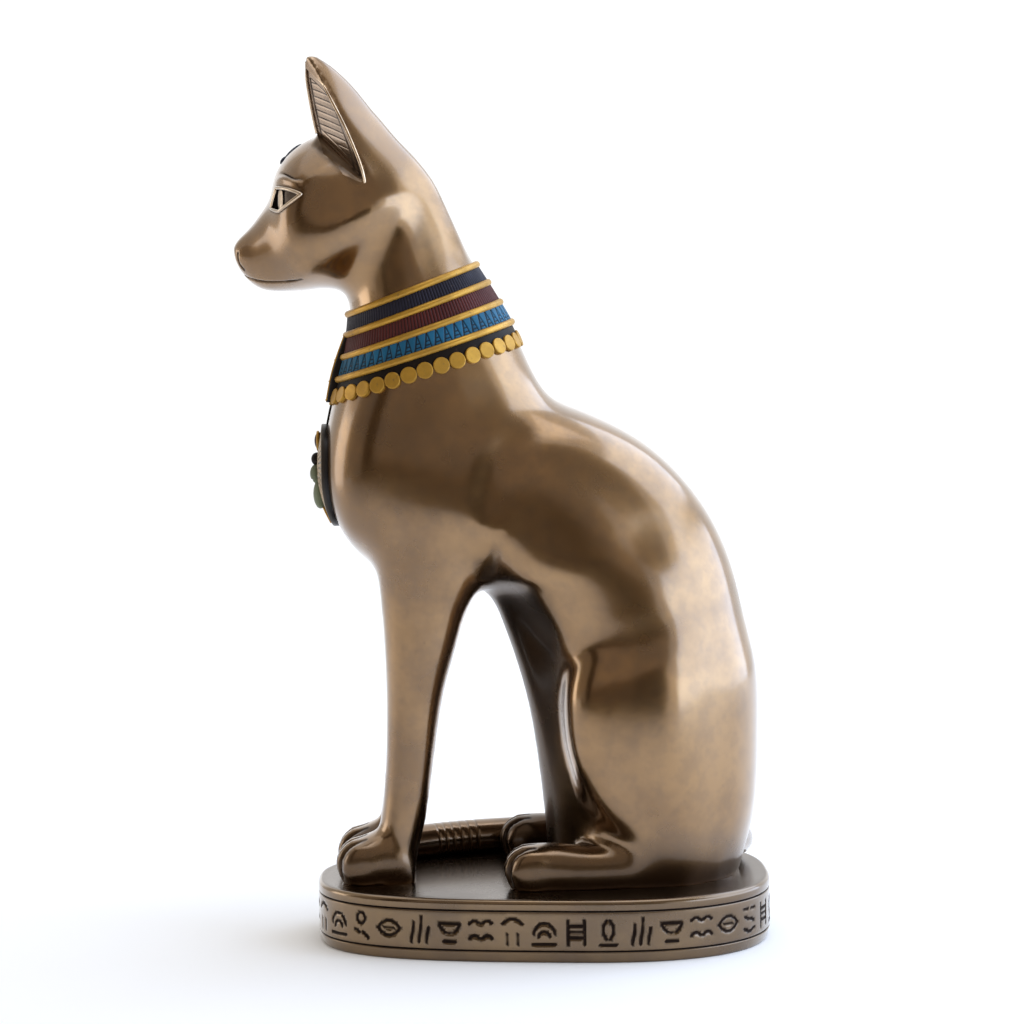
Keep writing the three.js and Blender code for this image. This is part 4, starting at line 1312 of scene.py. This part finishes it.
BANDS = (
    ("upper_band", RING_PLACES[0], RING_PLACES[1], STRIPES * 8, 4, stripes, navy_paint),
    ("middle_band", RING_PLACES[1], RING_PLACES[2], STRIPES * 8, 4, stripes, red_paint),
    ("lower_band", RING_PLACES[2], RING_PLACES[3], TRIANGLES * 16, 34, triangles, blue_paint),
)
for name, first, last, around, steps, form, material in BANDS:
    shown(name, sleeve(first, last, around, steps, BAND_PROUD, form), material)
disc_ground = sleeve(RING_PLACES[3], DISC_PLACE + 0.03, 200, 4, 0.35, no_cut)
shown("disc_ground", disc_ground, black_paint)

for name, place in zip(("first", "second", "third", "fourth"), RING_PLACES):
    row = along(trunk_line, place)
    loop = [section_point(row, float(turn), 0.6) for turn in even_turns(row, 240)]
    shown(name + "_ring", smooth(gathered([tube(loop, RING_RADIUS, closed=True, sides=4)])), gold)


def coin(turn, number):
    """One gilt disc lying on the skin, hand-set and so never quite true."""
    row = along(trunk_line, DISC_PLACE)
    middle = section_point(along(trunk_line, DISC_PLACE + 0.008 * math.sin(5 * number)), turn)
    sideways = (section_point(row, turn + 0.02) - section_point(row, turn - 0.02)).normalized()
    below, above = [section_point(along(trunk_line, DISC_PLACE + step), turn) for step in (0.1, -0.1)]
    down = (below - above).normalized()
    centre = (section_point(row, 0) + section_point(row, math.pi)) / 2
    outward = sideways.cross(down).normalized()
    if outward.dot(middle - centre) < 0:
        outward = -outward
    outward += 0.05 * math.sin(3.1 * number) * sideways + 0.05 * math.cos(2.3 * number) * down
    bm = bmesh.new()
    depth = DISC_THICKNESS + 0.8
    bmesh.ops.create_cone(bm, cap_ends=True, segments=40, radius1=DISC_RADIUS * MM,
                          radius2=DISC_RADIUS * MM, depth=depth * MM)
    bmesh.ops.translate(bm, verts=bm.verts, vec=(0, 0, (DISC_THICKNESS - depth / 2) * MM))
    rim = [e for e in bm.edges if all(v.co.z > 0 for v in e.verts)]
    bmesh.ops.bevel(bm, geom=rim, offset=0.35 * MM, segments=3, profile=0.5, affect="EDGES",
                    material=-1)
    turn_to = outward.normalized().to_track_quat("Z", "Y").to_matrix()
    bmesh.ops.rotate(bm, verts=bm.verts, matrix=turn_to)
    bmesh.ops.translate(bm, verts=bm.verts, vec=middle)
    return outwards(bm)


disc_turns = even_turns(along(trunk_line, DISC_PLACE), DISC_COUNT, 0.5)
coins = gathered([coin(float(turn), number) for number, turn in enumerate(disc_turns)])
shown("gilt_discs", coins, gold)

# Plaque: a small dark plate with a gilt edge over the collar at the throat, and the thin cord
# from it to the pectoral; both modelled on the figure and painted.
PLAQUE = [
    (-63.3, 182.0, -58.0, 182.0, 0, 6.3, 1, 5),
    (-66.8, 173.0, -60.0, 173.0, 0, 6.3, 1, 5),
    (-68.8, 166.0, -62.0, 166.0, 0, 6.3, 1, 5),
    (-70.1, 159.2, -64.0, 159.2, 0, 6.3, 1, 5),
]
plaque_line = spline_rows(PLAQUE)
shown("throat_plaque", smooth(gathered([skinned(plaque_line, 64, 30)])), black_paint)
EDGE_TURN = 0.62
FINE_BAR = 0.42


def on_plaque(place, turn):
    """A place just under the skin of the plaque, down it and round it from its middle."""
    return section_point(along(plaque_line, place), turn, -0.1)


bars = [[on_plaque(0.1 + 2.8 * k / 24, side * EDGE_TURN) for k in range(25)] for side in SIDES]
bars += [[on_plaque(place, t) for t in np.linspace(-EDGE_TURN, EDGE_TURN, 9)]
         for place in (0.1, 1.0, 2.0, 2.9)]
shown("plaque_edge", smooth(gathered([tube(bar, FINE_BAR) for bar in bars])), gold)

# Pectoral: a winged beetle under a sun disc, raised on the chest and painted: feathers in cream
# and gold over a dark ground, the beetle in green.
PECTORAL_MIDDLE = 134.8
PECTORAL_HALF = (13.4, 17.0)
PECTORAL_LIFT = 2.3
FEATHERS = 46
FEATHER_ROWS = (0.34, 0.62, 0.95)
BEETLE_LINE = (0.5, 0.4, (1, 1))  # half width, depth, share of it at the ends
SUN_HEIGHT = 146.2
SUN_RADIUS = 2.9


def before_chest(y, z, lift):
    """A place so far in front of the chest, at y and a height."""
    return from_front(body_skin, [(y, z)])[0] - Vector((lift * MM, 0, 0))


def feather_cut(angle, share):
    """How deep the feathers are cut at an angle from straight up and a share of the way out."""
    line = max(bell(share - row, 0.022) for row in FEATHER_ROWS)
    for k, (start, end) in enumerate(zip(FEATHER_ROWS, FEATHER_ROWS[1:])):
        if start < share < end:
            lean = 2.2 * (share - start) * (1 if k else -1)
            phase = (angle / (2 * math.pi) * FEATHERS * (1.0 if k else 0.6) + lean) % 1
            ripple = max(0.0, math.sin((share - start) * 60 + 6 * phase))
            line = max(line, bell(phase - 0.5, 0.16), 0.4 * ripple**4)
    return line


def pectoral_plate():
    """An oval plate on the chest with its feathers; two more rings close it behind."""
    rings = 84
    bm = drum(360, rings + 2)
    inks = []
    for v in bm.verts:
        angle = math.atan2(v.co.y, v.co.x)
        step = round(v.co.z)
        share = min(step / rings, 1.0)
        y = PECTORAL_HALF[0] * share * math.sin(angle)
        z = PECTORAL_MIDDLE + PECTORAL_HALF[1] * share * math.cos(angle)
        line = feather_cut(angle, share)
        lift = PECTORAL_LIFT * (1 - 0.12 * share**2) + 0.3 * bell(share - 0.96, 0.03) - 0.42 * line
        if step > rings:
            lift = 0.9 if step == rings + 1 else -0.9
        edge = float(smoothstep(0.95, 1.0, share))
        inks.append(0.9 * max(line, edge) if step <= rings else 1.0)
        v.co = before_chest(y, z, lift)
    return inked(bm, inks)


def on_chest(z, lift, radii):
    """A rounded form on the pectoral, its middle so far in front of the chest."""
    return ball(before_chest(0, z, lift) / MM, radii)


cream_paint = paint("cream_paint", (0.44, 0.32, 0.19), wear=0.7, metal=0.5, coat=0.2)
green_paint = paint("green_paint", (0.155, 0.175, 0.105), wear=0.2)
brown_paint = paint("brown_paint", (0.055, 0.022, 0.014), wear=0.2)
shown("pectoral", pectoral_plate(), cream_paint)
beetle = melted([on_chest(128.6, 2.4, (2.4, 4.7, 5.0)), on_chest(135.4, 2.5, (2.3, 4.1, 3.2))], 0.3)
beetle_skin = touch(beetle)
back_line = fine_line(from_front(beetle_skin, [(0, z) for z in (132.6, 130.0, 127.0, 124.6)]))
neck_line = fine_line(from_front(beetle_skin, [(y, 133.2) for y in (-2.4, -1.2, 0, 1.2, 2.4)]))
beetle = pressed(eased(beetle, 4), [(line, *BEETLE_LINE) for line in (back_line, neck_line)])
shown("beetle", smooth(beetle), green_paint)
shown("beetle_head", smooth(gathered([on_chest(140.2, 2.4, (1.9, 2.3, 2.2))])), black_paint)
sun = on_chest(SUN_HEIGHT, 2.2, (1.5, SUN_RADIUS, SUN_RADIUS))
shown("sun_disc", smooth(gathered([sun])), brown_paint)
sun_middle = before_chest(0, SUN_HEIGHT, 2.5)
sun_ring = [sun_middle + Vector((0, math.cos(t), math.sin(t))) * SUN_RADIUS * MM
            for t in np.linspace(0, 2 * math.pi, 41)[:-1]]
tail_feathers = []
for k in range(-3, 4):
    places = [before_chest(0.5 * k * s, 124.5 - 5.6 * s + 0.02 * k * k,
                           PECTORAL_LIFT + 0.5 * (1 - s)) for s in (0, 0.5, 1)]
    tail_feathers.append(tube(fine_line(places), FINE_BAR))
shown("sun_rim", smooth(gathered([tube(sun_ring, 0.5, closed=True), *tail_feathers])), gold)
cord = [before_chest(0, z, 0.25) for z in (159.0, 156.5, 154.0, 151.5)]
shown("cord", smooth(gathered([tube(fine_line(cord), FINE_BAR)])), black_paint)

# Brow ornament: a small beetle that lies flat on the forehead. It was modelled on the head, is
# cast with it and painted dark blue.
BROW_PLACES = [(-82.0, 239.0), (-79.2, 241.6), (-76.4, 244.0)]
brow_skin = [landed(head_skin, (x - 40, 0, PLINTH_TOP + z + 40), (1, 0, -1)) for x, z in BROW_PLACES]
brow_slope = (brow_skin[2] - brow_skin[0]).normalized()
brow_out = Vector((-brow_slope.z, 0, brow_slope.x))


def brow_beetle():
    """Its back and its head, made upright and then laid on the brow."""
    mesh = melted([ball((-0.75, 0, 0), (1.3, 3.4, 4.2)), ball((-0.75, 0, -3.9), (1.2, 2.5, 1.9))], 0.25)
    turn_to = Matrix((brow_out, brow_slope.cross(brow_out), brow_slope)).transposed().to_4x4()
    mesh.transform(Matrix.Translation(brow_skin[1]) @ turn_to)
    return mesh


shown("brow_beetle", smooth(brow_beetle()), paint("brow_paint", (0.012, 0.020, 0.045)))

# Studio: a white table under even white light with a cool soft light on the right. In front,
# past the table, the room is dim; it is only seen in the bronze.
CAMERA_TARGET = Vector((-9.0, 0.0, 141.95)) * MM
CAMERA_DISTANCE = 1.0
CAMERA_AZIMUTH = math.radians(-1.5)
CAMERA_RISE = math.radians(4.7)
CAMERA_ROLL = math.radians(0.9)
PHOTO_PIXELS = 1024
FOCAL_PIXELS = 3000
back = Vector((math.sin(CAMERA_AZIMUTH) * math.cos(CAMERA_RISE),
               -math.cos(CAMERA_AZIMUTH) * math.cos(CAMERA_RISE), math.sin(CAMERA_RISE)))
camera_data = bpy.data.cameras.new("camera")
camera_data.sensor_width = 36
camera_data.lens = 36 * FOCAL_PIXELS / PHOTO_PIXELS
camera = placed("camera", camera_data)
camera.location = CAMERA_TARGET + CAMERA_DISTANCE * back
turn = (-back).to_track_quat("-Z", "Y") @ Quaternion((0, 0, 1), -CAMERA_ROLL)
camera.rotation_euler = turn.to_euler()
bpy.context.scene.camera = camera


def stage_panel(name, width, height):
    """A flat sheet that stands or lies on the stage, and the sockets of its shader."""
    bm = bmesh.new()
    bmesh.ops.create_grid(bm, x_segments=1, y_segments=1, size=0.5)
    bmesh.ops.scale(bm, verts=bm.verts, vec=(width, height, 1))
    panel = placed(name, gathered([bm]))
    material, surface = new_material(name)
    panel.data.materials.append(material)
    return panel, surface


def direction(azimuth, rise):
    """From the figure, 0 towards the camera and 90 to the right."""
    a, r = math.radians(azimuth), math.radians(rise)
    return Vector((math.sin(a) * math.cos(r), -math.cos(a) * math.cos(r), math.sin(r)))


def dim_screen(name, azimuth, distance, width, bottom, top, glow):
    """A dim upright sheet past the table, that the camera itself doesn't see."""
    panel, look = stage_panel(name, width, top - bottom)
    place = direction(azimuth, 0) * distance
    turn_to = Matrix.Rotation(math.radians(azimuth), 4, "Z") @ Matrix.Rotation(math.pi / 2, 4, "X")
    panel.data.transform(Matrix.Translation((place.x, place.y, (bottom + top) / 2)) @ turn_to)
    look["Base Color"].default_value = (0, 0, 0, 1)
    look["Specular IOR Level"].default_value = 0
    look["Emission Color"].default_value = (*glow, 1)
    look["Emission Strength"].default_value = 1.0
    panel.visible_camera = False
    panel.visible_shadow = False


floor_look = stage_panel("floor", 8, 8)[1]
floor_look["Base Color"].default_value = (0.93, 0.93, 0.93, 1)
floor_look["Roughness"].default_value = 0.8
dim_screen("room_edge", -24, 1.42, 2.9, 0.0, 2.4, (0.05, 0.036, 0.028))
dim_screen("room_right", -14, 1.32, 2.05, 0.30, 2.2, (0.44, 0.37, 0.30))
dim_screen("room_left", -71, 1.34, 0.74, 0.10, 2.2, (0.36, 0.31, 0.26))
dim_screen("room_low", -14, 1.31, 2.05, 0.05, 0.34, (0.15, 0.115, 0.085))
dim_screen("room_dark", 14, 1.26, 0.42, 0.06, 0.36, (0.05, 0.038, 0.03))
dim_screen("side_wall", 34, 1.45, 1.2, 0.62, 2.2, (0.40, 0.34, 0.27))
dim_screen("left_strip", -100, 1.25, 0.54, 0.02, 0.55, (2.6, 2.55, 2.45))
dim_screen("left_wall", -116, 1.45, 1.5, 0.05, 2.2, (0.72, 0.68, 0.62))


def softbox(name, azimuth, rise, distance, width, height, glow):
    """A soft light of an even glow, aimed at the figure."""
    strength = max(glow)
    data = bpy.data.lights.new(name, "AREA")
    data.shape = "RECTANGLE"
    data.size = width
    data.size_y = height
    data.color = [c / strength for c in glow]
    data.energy = strength * math.pi * width * height
    lamp = placed(name, data)
    way = direction(azimuth, rise)
    lamp.location = way * distance + Vector((0, 0, 0.15))
    lamp.rotation_euler = (-way).to_track_quat("-Z", "Y").to_euler()
    lamp.visible_camera = False


softbox("right_light", 80, 8, 1.3, 2.4, 0.62, (1.65, 2.25, 3.3))
softbox("high_light", 104, 40, 1.3, 1.6, 0.75, (1.5, 1.95, 2.7))
softbox("top_light", 60, 80, 1.6, 1.0, 1.0, (1.2, 1.25, 1.35))
world = bpy.data.worlds.new("studio")
world.use_nodes = True
world.node_tree.nodes["Background"].inputs["Color"].default_value = (1, 1, 1, 1)
world.node_tree.nodes["Background"].inputs["Strength"].default_value = 1.12
bpy.context.scene.world = world
bpy.context.scene.view_settings.view_transform = "Standard"
